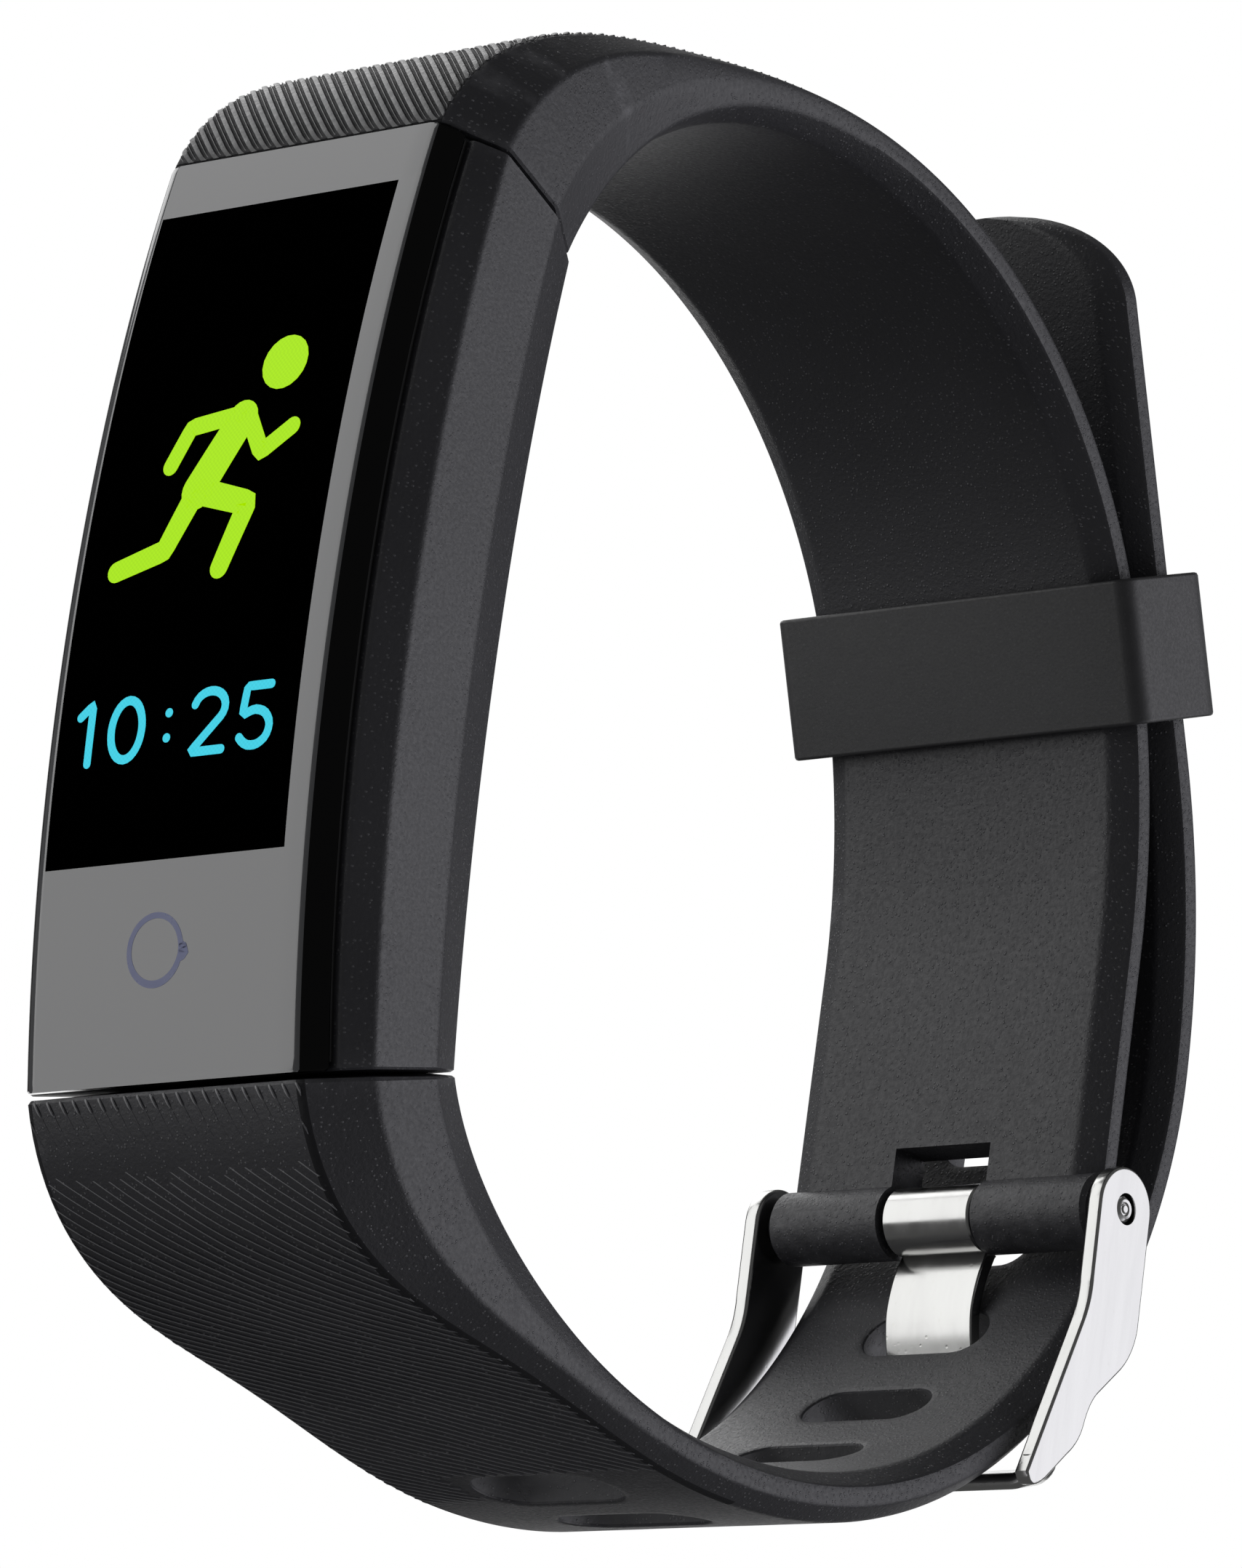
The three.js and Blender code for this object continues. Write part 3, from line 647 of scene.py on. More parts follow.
def strap_mesh(strap, stations, columns, slots=(), slot_rows=0):
    """The strap's points, faces and slot walls, and how many points a ring has.

    slots lists the first station of each slot's patch, which is slot_rows stations long.
    """
    rings = [strap.ring(s, columns, END_ROUND if s == 0 else 0) for s in stations]
    points = [p for ring in rings for p in ring]
    size = len(rings[0])
    outer_start = size // 2
    patch_rows = {row for first in slots for row in range(first, first + slot_rows)}

    def in_patch(face):
        row, i = divmod(face[0], size)
        return row in patch_rows and i % outer_start < columns - 1

    def patch(first, start, side):
        """Fills one pitch of a face round its slot, and returns the loop where the slot's wall starts."""
        last = first + slot_rows
        middle = (stations[first] + stations[last]) / 2
        half_pitch = (stations[last] - stations[first]) / 2
        face_x = abs(points[first * size + start][0])
        face_depth = strap.profile(middle)[0 if side > 0 else -1][1]
        length, width = SLOT_SIZE["wrist" if side > 0 else "outer"]
        column = range(columns)[::side]
        edge = [(first, c) for c in column]
        edge += [(row, column[-1]) for row in range(first + 1, last + 1)]
        edge += [(last, c) for c in column[-2::-1]]
        edge += [(row, column[0]) for row in range(last - 1, first, -1)]
        border = [row * size + start + c for row, c in edge]
        previous = border
        lip = SLOT["lip"]
        for grow, sink in ((lip * 3.2, 0.0), (lip, 0.0), (lip * 0.3, lip * 0.3), (0.0, lip)):
            loop = range(len(points), len(points) + len(border))
            for index, (row, _) in zip(border, edge):
                x = points[index][0] / face_x * length / 2
                s = (stations[row] - middle) / half_pitch * width / 2
                px, ps = stadium(x, s, length, width, grow)
                points.append(strap.place(px, face_depth + side * sink, middle + ps))
            faces.extend(bridge(previous, loop))
            previous = loop
        return previous

    faces = [face for face in rings_to_faces(len(rings), size) if not in_patch(face)]
    faces.append(tuple(range(len(points) - size, len(points))))
    walls = []
    for first in slots:
        wrist_loop = patch(first, 0, 1)
        walls += bridge(wrist_loop, patch(first, outer_start, -1))
    return points, faces, walls, size


def rib_section(right):
    """A ridge's section from its right half, as (share of half width, share of height or None if buried)."""
    return tuple((-across, up) for across, up in right) + tuple(reversed(right))


BROAD = rib_section(((1.0, None), (0.93, 0.5), (0.72, 0.9), (0.3, 1.0)))
SHARP = rib_section(((1.0, None), (0.65, 0.5), (0.33, 1.0)))


def add_rib(shells, strap, line, half_width, height, shape, narrowing=0.0):
    """Adds a closed ridge on the outer face to shells, as its points, faces and crest faces.

    line lists (x, distance, share of the height) along its middle. A line of one or two places is too short.
    """
    if len(line) < 3:
        return
    points = []
    for x, distance, share in line:
        width = half_width * (1 - narrowing * (1 - share))
        for across, up in shape:
            level = -BURIED if up is None else height * up * share
            points.append(strap.outer_point(x + across * width, distance, level))
    size = len(shape)
    crest = size // 2 - 1
    faces, crests = [], []
    for face in tube_faces(len(line), size):
        on_crest = len(face) == 4 and face[0] % size == crest
        (crests if on_crest else faces).append(face)
    shells.append((points, faces, crests))


def diagonal(strap, drift, start, end, fade_in, fade_out, step):
    """A rib's middle line across the outer face, with no places where it misses the strap."""
    line = []
    for distance in np.arange(start, end + step / 2, step):
        x = drift(distance)
        inside = strap.half_section(distance)[-1][0] - abs(x)
        if inside < -step:
            continue
        share = min(1.0, max(0.0, inside) / RIB["fade"])
        if fade_in:
            share = min(share, (distance - start) / fade_in)
        if fade_out:
            share = min(share, (end - distance) / fade_out)
        line.append((x, distance, max(LEAST_SHARE, share)))
    return line


def with_ribs(piece, shells, flank, crest):
    """Adds rib shells to a piece's mesh, with material numbers for their flanks and their crests."""
    bm = bmesh.new()
    bm.from_mesh(piece.data)
    for points, faces, crests in shells:
        verts = [bm.verts.new(p) for p in points]
        made = [bm.faces.new([verts[i] for i in face]) for face in faces + crests]
        bmesh.ops.recalc_face_normals(bm, faces=made)
        for number, face in enumerate(made):
            face.material_index = flank if number < len(faces) else crest
    bm.to_mesh(piece.data)
    bm.free()


def with_pocket(points, faces, size, strap):
    """Closes the root's end face round the pocket for the module's tongue."""
    mesh = mesh_from("root", points, faces)
    bm = bmesh.new()
    bm.from_mesh(mesh)
    bm.verts.ensure_lookup_table()
    rim = [bm.edges.get((bm.verts[i], bm.verts[(i + 1) % size])) for i in range(size)]
    point, normal = strap.path.at(0.0)
    along = np.array((-normal[1], normal[0]))
    along *= math.copysign(1, along[1] * strap.path.outward)
    loops = []
    for deep in (0.0, TONGUE["deep"]):
        loop = []
        for side, face in ((-1, "front"), (1, "front"), (1, "back"), (-1, "back")):
            depth = (TONGUE[face] - point[0]) / normal[0]
            place = point + normal * depth + along * deep
            loop.append(bm.verts.new((side * TONGUE["x"], *place)))
        loops.append(loop)
    mouth = [bm.edges.new((loops[0][i], loops[0][(i + 1) % 4])) for i in range(4)]
    bmesh.ops.triangle_fill(bm, use_beauty=True, edges=rim + mouth)
    for wall in bridge(*loops):
        bm.faces.new(wall)
    bm.faces.new(loops[1])
    bm.to_mesh(mesh)
    bm.free()
    return mesh


def make_upper_strap():
    strap = Strap(upper_path(), RIB["deep"])
    length = strap.path.length
    stations = [0.0, END_ROUND, *np.arange(0.4, RIBBED_LENGTH, 0.3)]
    stations += [*np.arange(RIBBED_LENGTH, length - 0.2, 0.5), length]
    points, faces, _, size = strap_mesh(strap, stations, columns=17)
    mesh = with_pocket(points, faces, size, strap)
    tidy_mesh(mesh)
    piece = add_object("upper_strap_skin", mesh)
    barrel = pin_rod("barrel", 1.75, 9.2, edge=0.22)
    opening = rectangle(PIN["y"] - 4, PIN["y"] + 4, PIN["z"] - 4, -9.0, 0.5, 3)
    notch = prism("notch", opening, -2.75, 2.75)
    combine(piece, joined=[barrel], cutters=[notch, pin_rod("bore", 0.72, 12)])
    tidy_mesh(piece.data, 1e-5)
    # Faces on the ground between the ribs get the darker groove finish: painted shade.
    for face in piece.data.polygons:
        if in_groove(strap, face.center):
            face.material_index = 3
    shells = []
    for number in range(-16, 80):
        x0 = number * RIB["pitch"]
        x1 = x0 + RIB["pitch"] / 2
        broad = diagonal(strap, lambda s: x0 - UPPER_LEAN * s, 0.06, RIBBED_LENGTH, 0.25, 3.0, 0.15)
        thin = diagonal(strap, lambda s: x1 - UPPER_LEAN * s, 0.2, RIBBED_LENGTH, 0.4, 3.0, 0.15)
        add_rib(shells, strap, broad, 0.19, RIB["deep"], BROAD)
        add_rib(shells, strap, thin, 0.06, RIB["deep"] * 0.7, SHARP)
    with_ribs(piece, shells, 2, 2)
    looks = [RUBBER, SLOT_WALL_LIT, RIBBED, GROOVE_SHADE]
    return finish_piece(piece, "band", ["upper_strap"], looks, 32)


def across_and_under(strap, place):
    """How far a point lies outside the outer face's edge, and how far under that face.

    None beyond the ribbed length.
    """
    distance = strap.path.nearest((place.y, place.z))
    if distance > RIBBED_LENGTH:
        return None
    point, normal = strap.path.at(distance)
    depth = float(np.dot(np.array((place.y, place.z)) - point, normal))
    crown_x, crown_depth = strap.half_section(distance)[-1]
    return abs(place.x) - crown_x, crown_depth - depth


def in_groove(strap, place):
    """True for a place on the ground between the ribs."""
    found = across_and_under(strap, place)
    return bool(found) and found[0] < 0 and abs(found[1]) < 0.12


def in_crease(strap, place):
    """True for a place in the crease along the outer face's edges, which gets painted shade."""
    found = across_and_under(strap, place)
    return bool(found) and -0.2 < found[0] < 0.3 and -0.05 < found[1] < 0.3


def make_lower_strap():
    strap = Strap(lower_path(), slant=0.48)
    length = strap.path.length
    rows = 12
    prong = strap.path.nearest(PRONG_SLOT)
    first_patch = prong - (SLOT["before"] + 0.5) * SLOT["pitch"]
    last_patch = prong + (SLOT["after"] + 0.5) * SLOT["pitch"]
    count = SLOT["before"] + SLOT["after"] + 1
    stations = [0.0, END_ROUND, *np.arange(0.4, first_patch - 0.2, 0.4)]
    slots = [len(stations) + rows * i for i in range(count)]
    stations += [*np.linspace(first_patch, last_patch, rows * count + 1)]
    stations += [*np.arange(last_patch + 0.5, length - TIP["length"] - 0.2, 0.5)]
    for turn in np.linspace(0, math.pi / 2 * TIP["last"], 33):
        stations.append(length - TIP["length"] * math.cos(turn))
    points, faces, walls, size = strap_mesh(strap, stations, 25, slots, rows)
    mesh = with_pocket(points, faces + walls, size, strap)
    # The slot walls take the lighter slot wall finish, painted light.
    for face in mesh.polygons[len(faces) : len(faces) + len(walls)]:
        face.material_index = 1
    tidy_mesh(mesh)
    piece = add_object("lower_strap_skin", mesh)
    # Faces in the crease along the outer face's edges get the darker groove finish: painted shade.
    for face in piece.data.polygons:
        if in_crease(strap, face.center):
            face.material_index = 3
    knobs, trails = seam_relief(strap)
    with_ribs(piece, trails, 0, 0)
    # The crests of the knobs and fine lines take the lighter crest finish, a painted highlight.
    with_ribs(piece, knobs + fine_lines(strap, first_patch), 0, 2)
    looks = [RUBBER, SLOT_WALL_LIT, RIB_CREST_HIGHLIGHT, GROOVE_SHADE]
    return finish_piece(piece, "band", ["lower_strap"], looks, 32)


def seam_relief(strap):
    """A row of small knobs at the lower seam, each with a faint trail."""
    knobs, trails = [], []
    for number in range(-14, 14):
        x0 = number * RIB["pitch"]
        knob = diagonal(strap, lambda s: x0 + 0.9 * s, 0.08, 0.4, 0.0, 0.0, 0.04)
        knob = [(x, s, share * knob_share(s)) for x, s, share in knob]
        add_rib(knobs, strap, knob, 0.12, 0.06, BROAD, narrowing=0.4)
        trail = diagonal(strap, lambda s: x0 + 0.9 * s, 0.3, 1.2, 0.0, 0.9, 0.15)
        add_rib(trails, strap, trail, 0.09, 0.02, BROAD, narrowing=0.6)
    return knobs, trails


def fine_lines(strap, first_patch):
    """The thin slanted lines between the seam and the first slot."""
    shells = []
    for number in range(-60, 13):
        x0 = number * FINE_LINE["pitch"]
        line = diagonal(strap, lambda s: fine_x(s, x0), fine_start(x0), FINE_LINE["end"], 2.6, 1.2, 0.2)
        line = [place for place in line if not over_first_slot(place, first_patch)]
        add_rib(shells, strap, line, FINE_LINE["half"], FINE_LINE["high"], SHARP)
    return shells


def knob_share(distance):
    """A small knob at the seam, rounded at both ends."""
    return max(LEAST_SHARE, 1 - ((distance - 0.24) / 0.165) ** 4)


def fine_start(x0):
    """The fine lines start at uneven distances from the seam."""
    return FINE_LINE["start"] + 0.12 * math.sin(x0 * 1.9) + 0.08 * math.sin(x0 * 5.3)


def fine_x(distance, x0):
    """Where a fine line is across the band: nearly level at the seam, steeper further down, and wavy."""
    across = 1.3 * distance + 5.6 * (1 - math.exp(-distance / 4))
    wave = 0.07 * math.sin(distance * 1.1 + x0 * 0.8) + 0.035 * math.sin(distance * 2.9 + x0 * 1.7)
    return x0 + across + wave


def over_first_slot(place, first_patch):
    """True where a fine line would lie over the first slot or beyond it on the right."""
    x, distance, _ = place
    length, width = SLOT_SIZE["outer"]
    past = distance > first_patch + (SLOT["pitch"] - width) / 2 - 0.25
    return past and x > -length / 2 - 0.4


# ---- the module


def line_at(name, u):
    """A line's place on the module's right side, with u from -1 at the bottom to 1 at the top."""
    x, middle, end = LINE[name]
    return x, middle + (end - middle) * u * u


def plane_height(plane, y):
    height, fall = plane
    return height - fall * y


def module_end(y, u):
    return plane_height(MODULE_END["top" if u > 0 else "bottom"], y)


def seam_collar():
    """A dark collar round the upper tongue, which fills the seam between the module and the strap."""
    right = [line_at(name, 1) for name in ("lens_front", "shoulder", "waist", "back_edge")]
    section = shrunk(both_sides(right), COLLAR_INSET)
    ends = ((MODULE_END["top"], 0.01), (UPPER_STRAP_END, -0.02))
    return loft("collar", [[(x, y, plane_height(end, y) + clear) for x, y in section] for end, clear in ends])


def module_solid(name, names, radius, steps=72):
    """A closed form along the module through rounded sections, with softened ends."""
    soft = END_ROUND / HALF_LENGTH
    stations = sorted({-1.0, 1.0, -1 + soft, 1 - soft, *np.linspace(-1, 1, steps + 1)[1:-1]})
    rings = []
    for u in stations:
        section = rounded(both_sides([line_at(line, u) for line in names]), radius, closed=True)
        if abs(u) == 1.0:
            section = shrunk(section, END_ROUND)
        rings.append([(x, y, u * module_end(y, u)) for x, y in section])
    return loft(name, rings)


def make_housing():
    piece = module_solid("middle_housing_shell", ("rim", "shoulder", "waist", "back_edge"), 0.2)
    cavity = prism("cavity", rectangle(-7.75, 7.75, -18.5, 18.5, 0.6, 3), -3, 6.6, along="y")
    opening = prism("opening", rectangle(-7.35, 7.35, -17.0, 17.0, 1.5, 6), 5.6, 12, along="y")
    tongue = prism("tongue", [(4.6, 18.6), (6.55, 18.6), (6.55, 25.9), (4.6, 25.9)], -6.0, 6.0)
    combine(piece, joined=[tongue, seam_collar()], cutters=[cavity, opening])
    tidy_mesh(piece.data, 1e-5)
    return finish_piece(piece, "band", ["middle_housing"], [HOUSING], 30)


def make_lens():
    """The cover lens, with the screen's rectangle as faces of their own."""
    shares = np.linspace(-1, 1, 4001)
    heights = [u * module_end(line_at("lens_front", u)[1], u) for u in shares]
    bottom, top = (float(np.interp(SCREEN[edge], heights, shares)) for edge in ("bottom", "top"))
    soft = END_ROUND / HALF_LENGTH
    stations = [-1, -1 + soft, *np.linspace(-0.97, bottom, 14), *np.linspace(bottom, top, 60)[1:]]
    stations += [*np.linspace(top, 0.985, 8)[1:], 1 - soft, 1]
    columns = [SCREEN["left"], -3.5, 0.0, 3.0, SCREEN["right"]]
    rings = []
    for u in stations:
        (x_front, y_front), (x_back, y_back) = line_at("lens_front", u), line_at("lens_back", u)
        right = rounded([(0, y_front), (x_front, y_front), (x_back, y_back), (0, y_back)], 0.4)[1:-1]
        section = [*[(-x, y) for x, y in right[::-1]], *[(x, y_front) for x in columns], *right]
        if abs(u) == 1:
            section = [(x * (1 - END_ROUND / 8), y) for x, y in section]
        rings.append([(x, y, u * module_end(y, u)) for x, y in section])
    size = len(rings[0])
    screen_columns = range(len(right), len(right) + len(columns) - 1)
    faces, screen = [], []
    for face in tube_faces(len(rings), size):
        row, i = divmod(face[0], size)
        inside = len(face) == 4 and bottom - 1e-9 <= stations[row] and stations[row + 1] <= top + 1e-9
        (screen if inside and i in screen_columns else faces).append(face)
    mesh = mesh_from("display_lens_cover", [p for ring in rings for p in ring], faces + screen)
    for face in mesh.polygons[len(faces) :]:
        face.material_index = 1
    tidy_mesh(mesh)
    for face in mesh.polygons:
        if abs(face.normal.x) > 0.45 or face.normal.y > 0.2:
            face.material_index = 2
    piece = add_object("display_lens_cover", mesh)
    return finish_piece(piece, "band", ["display_lens"], [LENS, SCREEN_BLACK, LENS_SIDE], 28)


# ---- what the display shows


def lens_y(z):
    """The depth of the lens's front face at a height."""
    u = 0.0
    for _ in range(5):
        u = z / module_end(line_at("lens_front", u)[1], z)
    return line_at("lens_front", u)[1]


def stroke_rows(stroke):
    """Rows of three places across a stroke, from one round end to the other."""
    line = np.array(stroke, float)
    steps = np.concatenate([[0], np.cumsum(np.hypot(*np.diff(line[:, :2], axis=0).T))])
    count = max(2, int(steps[-1] / 0.2) + 1)
    x, z, r = (np.interp(np.linspace(0, steps[-1], count), steps, line[:, i]) for i in range(3))
    tangent = directions(np.stack([x, z], 1))
    normal = turned(tangent)
    cap = [math.radians(angle) for angle in (90, 72, 54, 36, 18)]
    turns = [(0, -a) for a in cap] + [(i, 0.0) for i in range(count)] + [(count - 1, a) for a in cap[::-1]]
    rows = []
    for i, turn in turns:
        middle = np.array((x[i], z[i])) + tangent[i] * r[i] * math.sin(turn)
        rows.append([middle + normal[i] * r[i] * math.cos(turn) * side for side in (-1, 0, 1)])
    return rows


def printed(name, strokes, finish, lift=0.02):
    """Thin prints that follow the lens. A stroke is a list of (x, z, radius) on its middle line."""
    points, faces = [], []
    for stroke in strokes:
        base = len(points)
        rows = stroke_rows(stroke)
        for row in rows:
            points += [(x, lens_y(z) - lift, z) for x, z in row]
            points += [(x, lens_y(z) + lift * 0.5, z) for x, z in row[::-1]]
        faces += [tuple(base + i for i in face) for face in tube_faces(len(rows), 6)]
    piece = add_object(name, mesh_from(name, points, faces))
    tidy_mesh(piece.data, 1e-6)
    return finish_piece(piece, "band", None, [finish], 40)


def make_pictogram():
    """A striding figure: a round head, a leaning back, bent arms and legs, all of even strokes."""
    strokes = {
        "head": [(2.35, 10.1, 1.25), (2.36, 10.11, 1.25)],
        "trunk": [(0.55, 7.7, 0.85), (-1.25, 4.6, 0.9)],
        "front arm": [(0.85, 7.9, 0.42), (2.0, 6.0, 0.42), (3.55, 7.0, 0.42)],
        "rear arm": [(0.3, 7.9, 0.42), (-2.3, 7.6, 0.42), (-3.1, 5.9, 0.42)],
        "front leg": [(-1.0, 4.5, 0.6), (1.75, 3.7, 0.56), (0.75, 0.9, 0.5)],
        "rear leg": [(-1.4, 4.4, 0.6), (-2.6, 2.0, 0.52), (-5.2, 1.3, 0.48)],
    }
    return printed("display_pictogram", strokes.values(), LIT_GREEN)


def numeral(glyph, x, z, width, height, radius):
    """The strokes of one glyph of the time of day."""
    w, h = width / 2, height / 2

    def curve(cx, cz, rx, rz, start, end, count=14):
        angles = np.radians(np.linspace(start, end, count))
        return [(x + cx + rx * math.cos(a), z + cz + rz * math.sin(a), radius) for a in angles]

    def line(*places):
        return [(x + px, z + pz, radius) for px, pz in places]

    if glyph == "0":
        return [curve(0, 0, w, h, 90, 450, 30)]
    if glyph == "1":
        return [line((-w * 0.5, h * 0.6), (w * 0.25, h), (w * 0.25, -h))]
    if glyph == "2":
        return [curve(0, h * 0.45, w, h * 0.55, 165, -35) + line((-w, -h), (w, -h))]
    if glyph == "5":
        flag = line((w * 0.8, h), (-w * 0.7, h), (-w * 0.85, h * 0.12))
        return [flag + curve(-0.05, -h * 0.4, w, h * 0.6, 130, -150)]
    return [line((0, side * h * 0.42), (0.01, side * h * 0.42)) for side in (1, -1)]


def make_numerals():
    """A made-up time of day, in plain rounded figures."""
    strokes = []
    for glyph, x in (("1", -5.6), ("0", -3.3), (":", -0.95), ("2", 1.35), ("5", 4.0)):
        strokes += numeral(glyph, x, -5.9, 1.75, 2.6, 0.2)
    return printed("display_numerals", strokes, LIT_CYAN)


def make_key_ring():
    """The printed ring that marks the touch key, thicker at its right."""
    centre, radius = (-0.6, -15.5), 1.45
    ring = []
    for angle in np.radians(np.linspace(0, 360, 91)):
        pointer = max(0.0, 1 - abs(math.degrees(math.remainder(angle, math.tau)) + 6) / 14)
        thick = 0.13 + 0.03 * max(0.0, -math.sin(angle)) + 0.2 * pointer
        out = radius + 0.2 * pointer
        ring.append((centre[0] + out * math.cos(angle), centre[1] + out * math.sin(angle), thick))
    return printed("touch_key_ring", [ring], KEY_RING, lift=0.008)


# ---- buckle and keeper


def arm_outline():
    """A buckle arm's outline in Y and Z: its head round the pin, then down the back and up the front."""
    bends = (
        ((55.1, -17.6), (55.0, -18.8), (54.2, -19.7)),
        ((52.6, -21.3), (52.1, -21.9), (51.9, -22.9)),
        ((51.9, -22.9), (51.7, -23.8), (50.9, -24.5)),
        ((49.5, -25.95), (48.5, -26.85), (48.1, -25.9)),
        ((50.9, -18.2), (51.3, -17.1), (51.2, -16.0)),
    )
    parts = [bezier(*bend, count=8) for bend in bends]
    parts[2] = parts[2][1:]
    return np.concatenate([arc((PIN["y"], PIN["z"]), 1.95, 180, 0, 28), *parts])


def inset(outline, amount):
    """An outline moved inwards, for soft edges."""
    after, before = np.roll(outline, -1, axis=0), np.roll(outline, 1, axis=0)
    edges = after - before
    area = np.sum(outline[:, 0] * after[:, 1] - outline[:, 1] * after[:, 0])
    return outline + turned(edges) / np.linalg.norm(edges, axis=1)[:, None] * amount * math.copysign(1, area)


def soft_plate(name, outline, low, high, soft):
    """An outline in Y and Z as a sheet across X, with rounded edges."""
    turns = np.radians((0, 30, 60, 90))
    edge = [(soft * (1 - math.sin(turn)), soft * (1 - math.cos(turn))) for turn in turns]
    layers = [(low + deep, side) for side, deep in edge]
    layers += [(high - deep, side) for side, deep in reversed(edge)]
    return loft(name, [[(x, y, z) for y, z in inset(outline, side)] for x, side in layers])


def crossbar():
    """The buckle's crossbar: a strip of sheet whose ends bend up into the arms."""
    lean, bend, thick = math.radians(CROSSBAR["lean"]), CROSSBAR["bend"], CROSSBAR["thick"]
    half, half_width = CROSSBAR["half_length"], CROSSBAR["width"] / 2
    turn = arc((0, 0), bend, -90, 0, 9)
    right = [(half - bend + x, bend + up) for x, up in turn] + [(half, bend + CROSSBAR["reach"])]
    path = np.array([(-x, up) for x, up in reversed(right)] + right)
    section = rectangle(-half_width, half_width, -thick / 2, thick / 2, thick * 0.42, 4)
    wide = np.array((math.cos(lean), math.sin(lean)))
    deep = turned(wide)
    rings = []
    for (x, up), (tx, tup) in zip(path, directions(path)):
        middle = np.array((CROSSBAR["y"], CROSSBAR["z"])) + deep * up
        places = [(out, middle + wide * across + deep * out * tx) for across, out in section]
        rings.append([(x - out * tup, *place) for out, place in places])
    return loft("bar", rings)


def make_buckle_frame():
    outline = arm_outline()
    near, far, soft = ARM["inside"], ARM["outside"], ARM["soft"]
    piece = soft_plate("buckle_arms_and_bar", outline, near, far, soft)
    left = soft_plate("left_arm", outline, -far, -near, soft)
    combine(piece, joined=[left, crossbar()], cutters=[pin_rod("bores", 0.74, 12, count=32)])
    tidy_mesh(piece.data, 1e-3)
    return finish_piece(piece, "frame", ["buckle_frame"], [STEEL], 40)


def make_pin():
    """The pin, with a turned groove and a low dome at each end."""
    end = [(10.36, 0.001), (10.36, 0.16), (10.28, 0.22), (10.26, 0.27)]
    end += [(10.33, 0.33), (10.36, 0.45), (10.24, 0.6)]
    stations = [(-x, r) for x, r in end] + [(x, r) for x, r in reversed(end)]
    piece = loft("buckle_pin_turned", [pin_circle(x, r, 32) for x, r in stations], merge=1e-5)
    return finish_piece(piece, "band", ["buckle_pin"], [STEEL], 30)


def make_prong():
    """Sheet rolled round the pin, with a tongue that curves down into a slot."""
    knots = np.array(((53.45, -13.7), (52.95, -15.1), (52.72, -16.6), (52.83, -17.7), (53.2, -19.1)))
    at = np.linspace(0, len(knots) - 1, 33)
    front = np.stack([smooth_through(knots[:, i], at) for i in (0, 1)], 1)
    back = front + turned(directions(front)) * PRONG["thick"]
    outline = np.concatenate([front, back[::-1]])
    piece = soft_plate("buckle_prong_sheet", outline, -PRONG["half"], PRONG["half"], 0.1)
    roll = pin_rod("roll", PRONG["roll"], PRONG["half"], edge=0.1, count=64)
    combine(piece, joined=[roll], cutters=[pin_rod("bore", 0.75, 4, count=32)])
    tidy_mesh(piece.data, 1e-3)
    return finish_piece(piece, "prong", ["buckle_prong"], [STEEL], 40)


def smooth_through(values, at):
    """A Catmull-Rom curve through values at whole numbers."""
    padded = np.concatenate([[2 * values[0] - values[1]], values, [2 * values[-1] - values[-2]]])
    index = np.clip(np.floor(at).astype(int), 0, len(values) - 2)
    t = at - index
    a, b, c, d = (padded[index + k] for k in range(4))
    return b + 0.5 * t * (c - a + t * (2 * a - 5 * b + 4 * c - d + t * (3 * (b - c) + d - a)))


def keeper_outline(half, low, high, near_radius, far_radius):
    """One face of the keeper's wall, across the band: right side, far side, left side, near side."""
    near_x, far_x = half - near_radius, half - far_radius
    near_y, far_y = low + near_radius, high - far_radius
    return np.concatenate(
        [
            arc((near_x, near_y), near_radius, -90, 0, 12),
            arc((far_x, far_y), far_radius, 0, 90, 12),
            straight((far_x, high), (-far_x, high), 26)[1:-1],
            arc((-far_x, far_y), far_radius, 90, 180, 12),
            arc((-near_x, near_y), near_radius, 180, 270, 12),
            straight((-near_x, low), (near_x, low), 26)[1:-1],
        ]
    )


def make_keeper():
    """The keeper loop: an even wall round the straps with rounded rims."""
    wall, soft = KEEPER["wall"], KEEPER["soft"]
    half, inner_half = KEEPER["half"], KEEPER["inner_half"]
    outside = keeper_outline(half, 0.0, KEEPER["depth"], 0.9, 1.8)
    inside = keeper_outline(inner_half, wall, KEEPER["depth"] - wall, 0.5, 1.1)
    # Rows round the wall's section: share of the way from the outside to the inside, and height.
    rim = [
        (share * soft / (half - inner_half), KEEPER["height"] / 2 - fall * soft)
        for share, fall in ((0, 1), (0.3, 0.3), (1, 0))
    ]
    outer_rows = [(share, -h) for share, h in reversed(rim)] + rim
    rows = outer_rows + [(1 - share, h) for share, h in reversed(outer_rows)]
    start = BACK_ARC["radius"] - wall - 0.4
    angle = math.radians(KEEPER["turn"])
    points = []
    for share, h in rows:
        for x, out in outside + (inside - outside) * share:
            radial = out + start
            y = BACK_ARC["y"] + radial * math.cos(angle) - h * math.sin(angle)
            z = BACK_ARC["z"] + radial * math.sin(angle) + h * math.cos(angle)
            points.append((x, y, z))
    size = len(outside)
    last = range(len(points) - size, len(points))
    faces = rings_to_faces(len(rows), size) + bridge(last, range(size))
    piece = solid("strap_keeper_loop", points, faces)
    return finish_piece(piece, "keeper", ["strap_keeper"], [KEEPER_RUBBER], 50)


# ---- finishes of the CAD pieces that stay

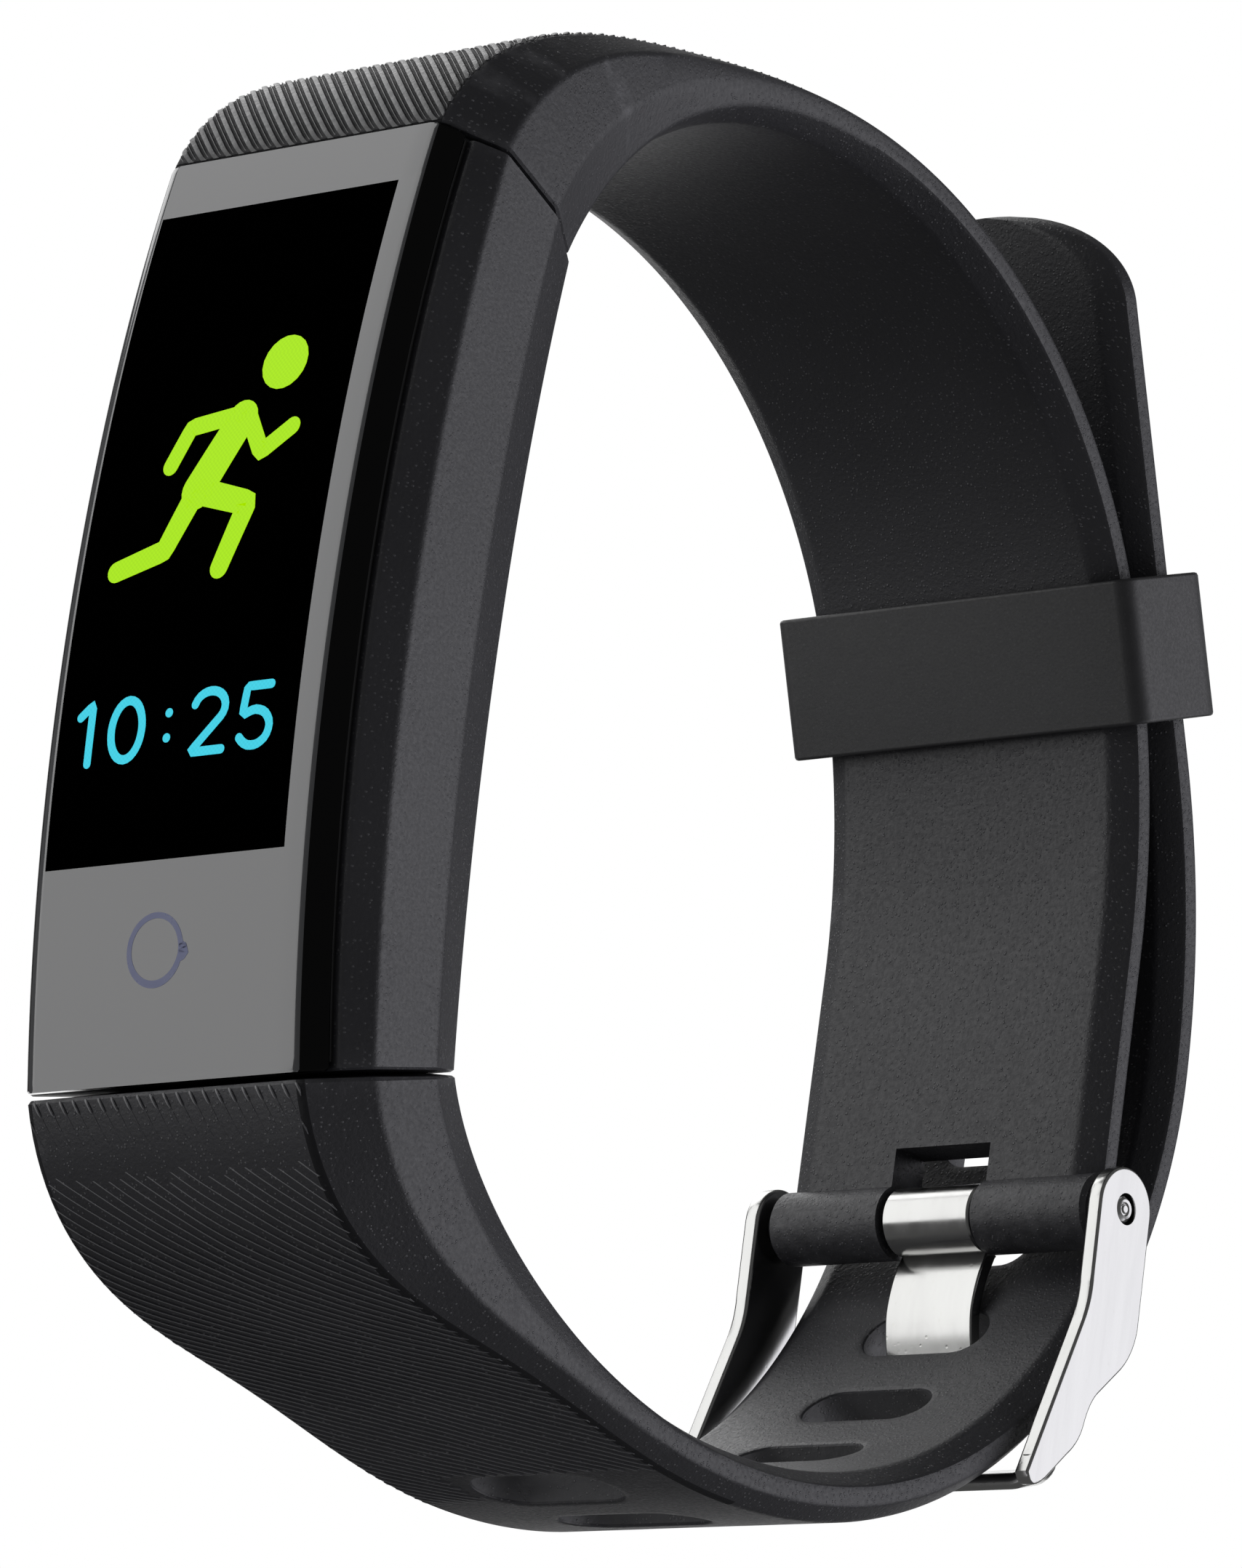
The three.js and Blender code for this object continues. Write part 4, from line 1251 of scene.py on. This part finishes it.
NODE_FINISH = {
    "adhesive": plain_detail("foam_adhesive", (0.008, 0.008, 0.008), 0.8),
    "display": plain_detail("display_stack", (0.01, 0.01, 0.012), 0.25),
    "flex": plain_detail("amber_flex", (0.45, 0.2, 0.05), 0.45),
    "housing": HOUSING,
    "window": glossy("infrared_window", (0.006, 0.007, 0.009), 0.07, 0.5, dust=0.002),
    "screw_steel": polished_steel("screw_steel", (0.62, 0.62, 0.62), 0.28, 0.6),
    "board": plain_detail("solder_mask", (0.01, 0.09, 0.04), 0.4),
    "chip": plain_detail("chip_resin", (0.015, 0.015, 0.016), 0.5),
    "cell": plain_detail("cell_foil", (0.55, 0.56, 0.58), 0.35, metallic=0.7),
    "diode": plain_detail("diode_resin", (0.5, 0.65, 0.35), 0.3),
    "gold": polished_steel("gold_plate", (0.85, 0.6, 0.22), 0.22, 0.3),
    "lens": LENS,
    "strap_rubber": RUBBER,
    "buckle_steel": STEEL,
}


def dress_cad_nodes():
    slots = {part["node"]: part["material_slot"] for part in frame["record"]["subparts"]}
    for name, cad in frame["nodes"].items():
        finish = NODE_FINISH[slots[name]]
        if not cad.data.materials:
            cad.data.materials.append(finish)
        for place in cad.material_slots:
            place.material = finish


# ---- stage, light and camera

# The photographer's camera is a little lower than the object's lowest point and looks up at it, so
# the floor lets light through from underneath and is an ordinary pale floor from above.


def make_stage():
    size = 2.5
    corners = [(-size, -size, 0), (size, -size, 0), (size, size, 0), (-size, size, 0)]
    floor = add_object("floor", mesh_from("floor", corners, [(0, 1, 2, 3)]))
    pale = Finish("pale_floor", (0.84, 0.84, 0.84), 0.6)
    pale.drive("Base Color", pale.tint(pale.noise(40, 3.0), (0.78, 0.78, 0.78), (0.83, 0.83, 0.83)))
    pale.set("Emission Color", (1, 1, 1, 1))
    pale.set("Emission Strength", 0.42)
    underneath = pale.make("ShaderNodeNewGeometry").outputs["Backfacing"]
    clear = pale.make("ShaderNodeBsdfTransparent").outputs[0]
    either = pale.make("ShaderNodeMixShader", underneath, pale.shader.outputs[0], clear)
    pale.tree.links.new(either.outputs[0], pale.tree.nodes["Material Output"].inputs["Surface"])
    floor.data.materials.append(pale.material)
    floor.visible_diffuse = False
    floor.visible_glossy = False
    floor.visible_transmission = False
    floor.visible_shadow = False


def make_world():
    """A white surround, which lights the object much less than it shows."""
    world = bpy.data.worlds.new("studio")
    bpy.context.scene.world = world
    world.use_nodes = True
    nodes = Nodes(world.node_tree)
    background = nodes.tree.nodes["Background"]
    background.inputs["Color"].default_value = (1, 1, 1, 1)
    seen = nodes.make("ShaderNodeLightPath").outputs["Is Camera Ray"]
    nodes.tree.links.new(nodes.spread(seen, 0, 1, 0.12, 1.0), background.inputs["Strength"])


def softbox(name, direction, distance, size, power, color):
    """A soft panel in a direction from the object, facing it and hidden from the camera."""
    lamp = bpy.data.lights.new(name, "AREA")
    lamp.shape = "RECTANGLE"
    lamp.size, lamp.size_y = size
    lamp.energy = power
    lamp.color = color
    made = add_object(name, lamp)
    way = Vector(direction).normalized()
    made.location = (cad_low + cad_high) / 2 + way * distance
    made.rotation_euler = (-way).to_track_quat("-Z", "Y").to_euler()
    made.visible_camera = False


def make_lights():
    white, cool = (1, 1, 1), (0.95, 0.945, 1.0)
    softbox("front_left", (-0.63, -0.72, 0.32), 0.62, (0.5, 0.75), 2.25, white)
    softbox("right_back", (0.74, 0.6, -0.08), 0.6, (0.65, 0.75), 2.9, cool)
    softbox("upper_left", (-0.75, 0.15, 0.75), 0.62, (0.5, 0.4), 1.5, white)
    softbox("left_back", (-0.63, 0.74, 0.22), 0.6, (0.5, 0.5), 0.9, white)
    softbox("front_low", (-0.1, -0.8, -0.6), 0.6, (0.5, 0.35), 0.3, cool)


# The camera's place in the drawing frame, its turn in degrees, and its lens.
CAMERA_PLACE = (231.08, -239.14, -104.45)
CAMERA_TURN = {"azimuth": 41.05, "elevation": -16.59, "roll": 7.83}
FOCAL_LENGTH = 189.3
SENSOR = 36.0


def make_camera():
    data = bpy.data.cameras.new("camera")
    data.lens = FOCAL_LENGTH
    data.sensor_width = SENSOR
    data.sensor_fit = "AUTO"
    data.clip_start, data.clip_end = 0.01, 10
    camera = add_object("camera", data)
    azimuth, elevation, roll = (math.radians(CAMERA_TURN[k]) for k in ("azimuth", "elevation", "roll"))
    across = math.cos(elevation)
    back = Vector((math.sin(azimuth) * across, -math.cos(azimuth) * across, math.sin(elevation)))
    level = Vector((0, 0, 1)).cross(back).normalized()
    upright = back.cross(level)
    right = level * math.cos(roll) + upright * math.sin(roll)
    turn = Matrix((right, back.cross(right), back)).transposed()
    camera.matrix_world = Matrix.Translation(TO_ROW @ Vector(CAMERA_PLACE)) @ turn.to_4x4()
    bpy.context.scene.camera = camera


# ---- the scene

for leftover in [o for o in bpy.context.scene.objects if o.type in ("LIGHT", "CAMERA")]:
    bpy.data.objects.remove(leftover)

dress_cad_nodes()
make_upper_strap()
make_lower_strap()
make_housing()
make_lens()
make_pictogram()
make_numerals()
make_key_ring()
make_buckle_frame()
make_pin()
make_prong()
make_keeper()
make_stage()
make_world()
make_lights()
make_camera()
bpy.context.scene.view_settings.view_transform = "Standard"
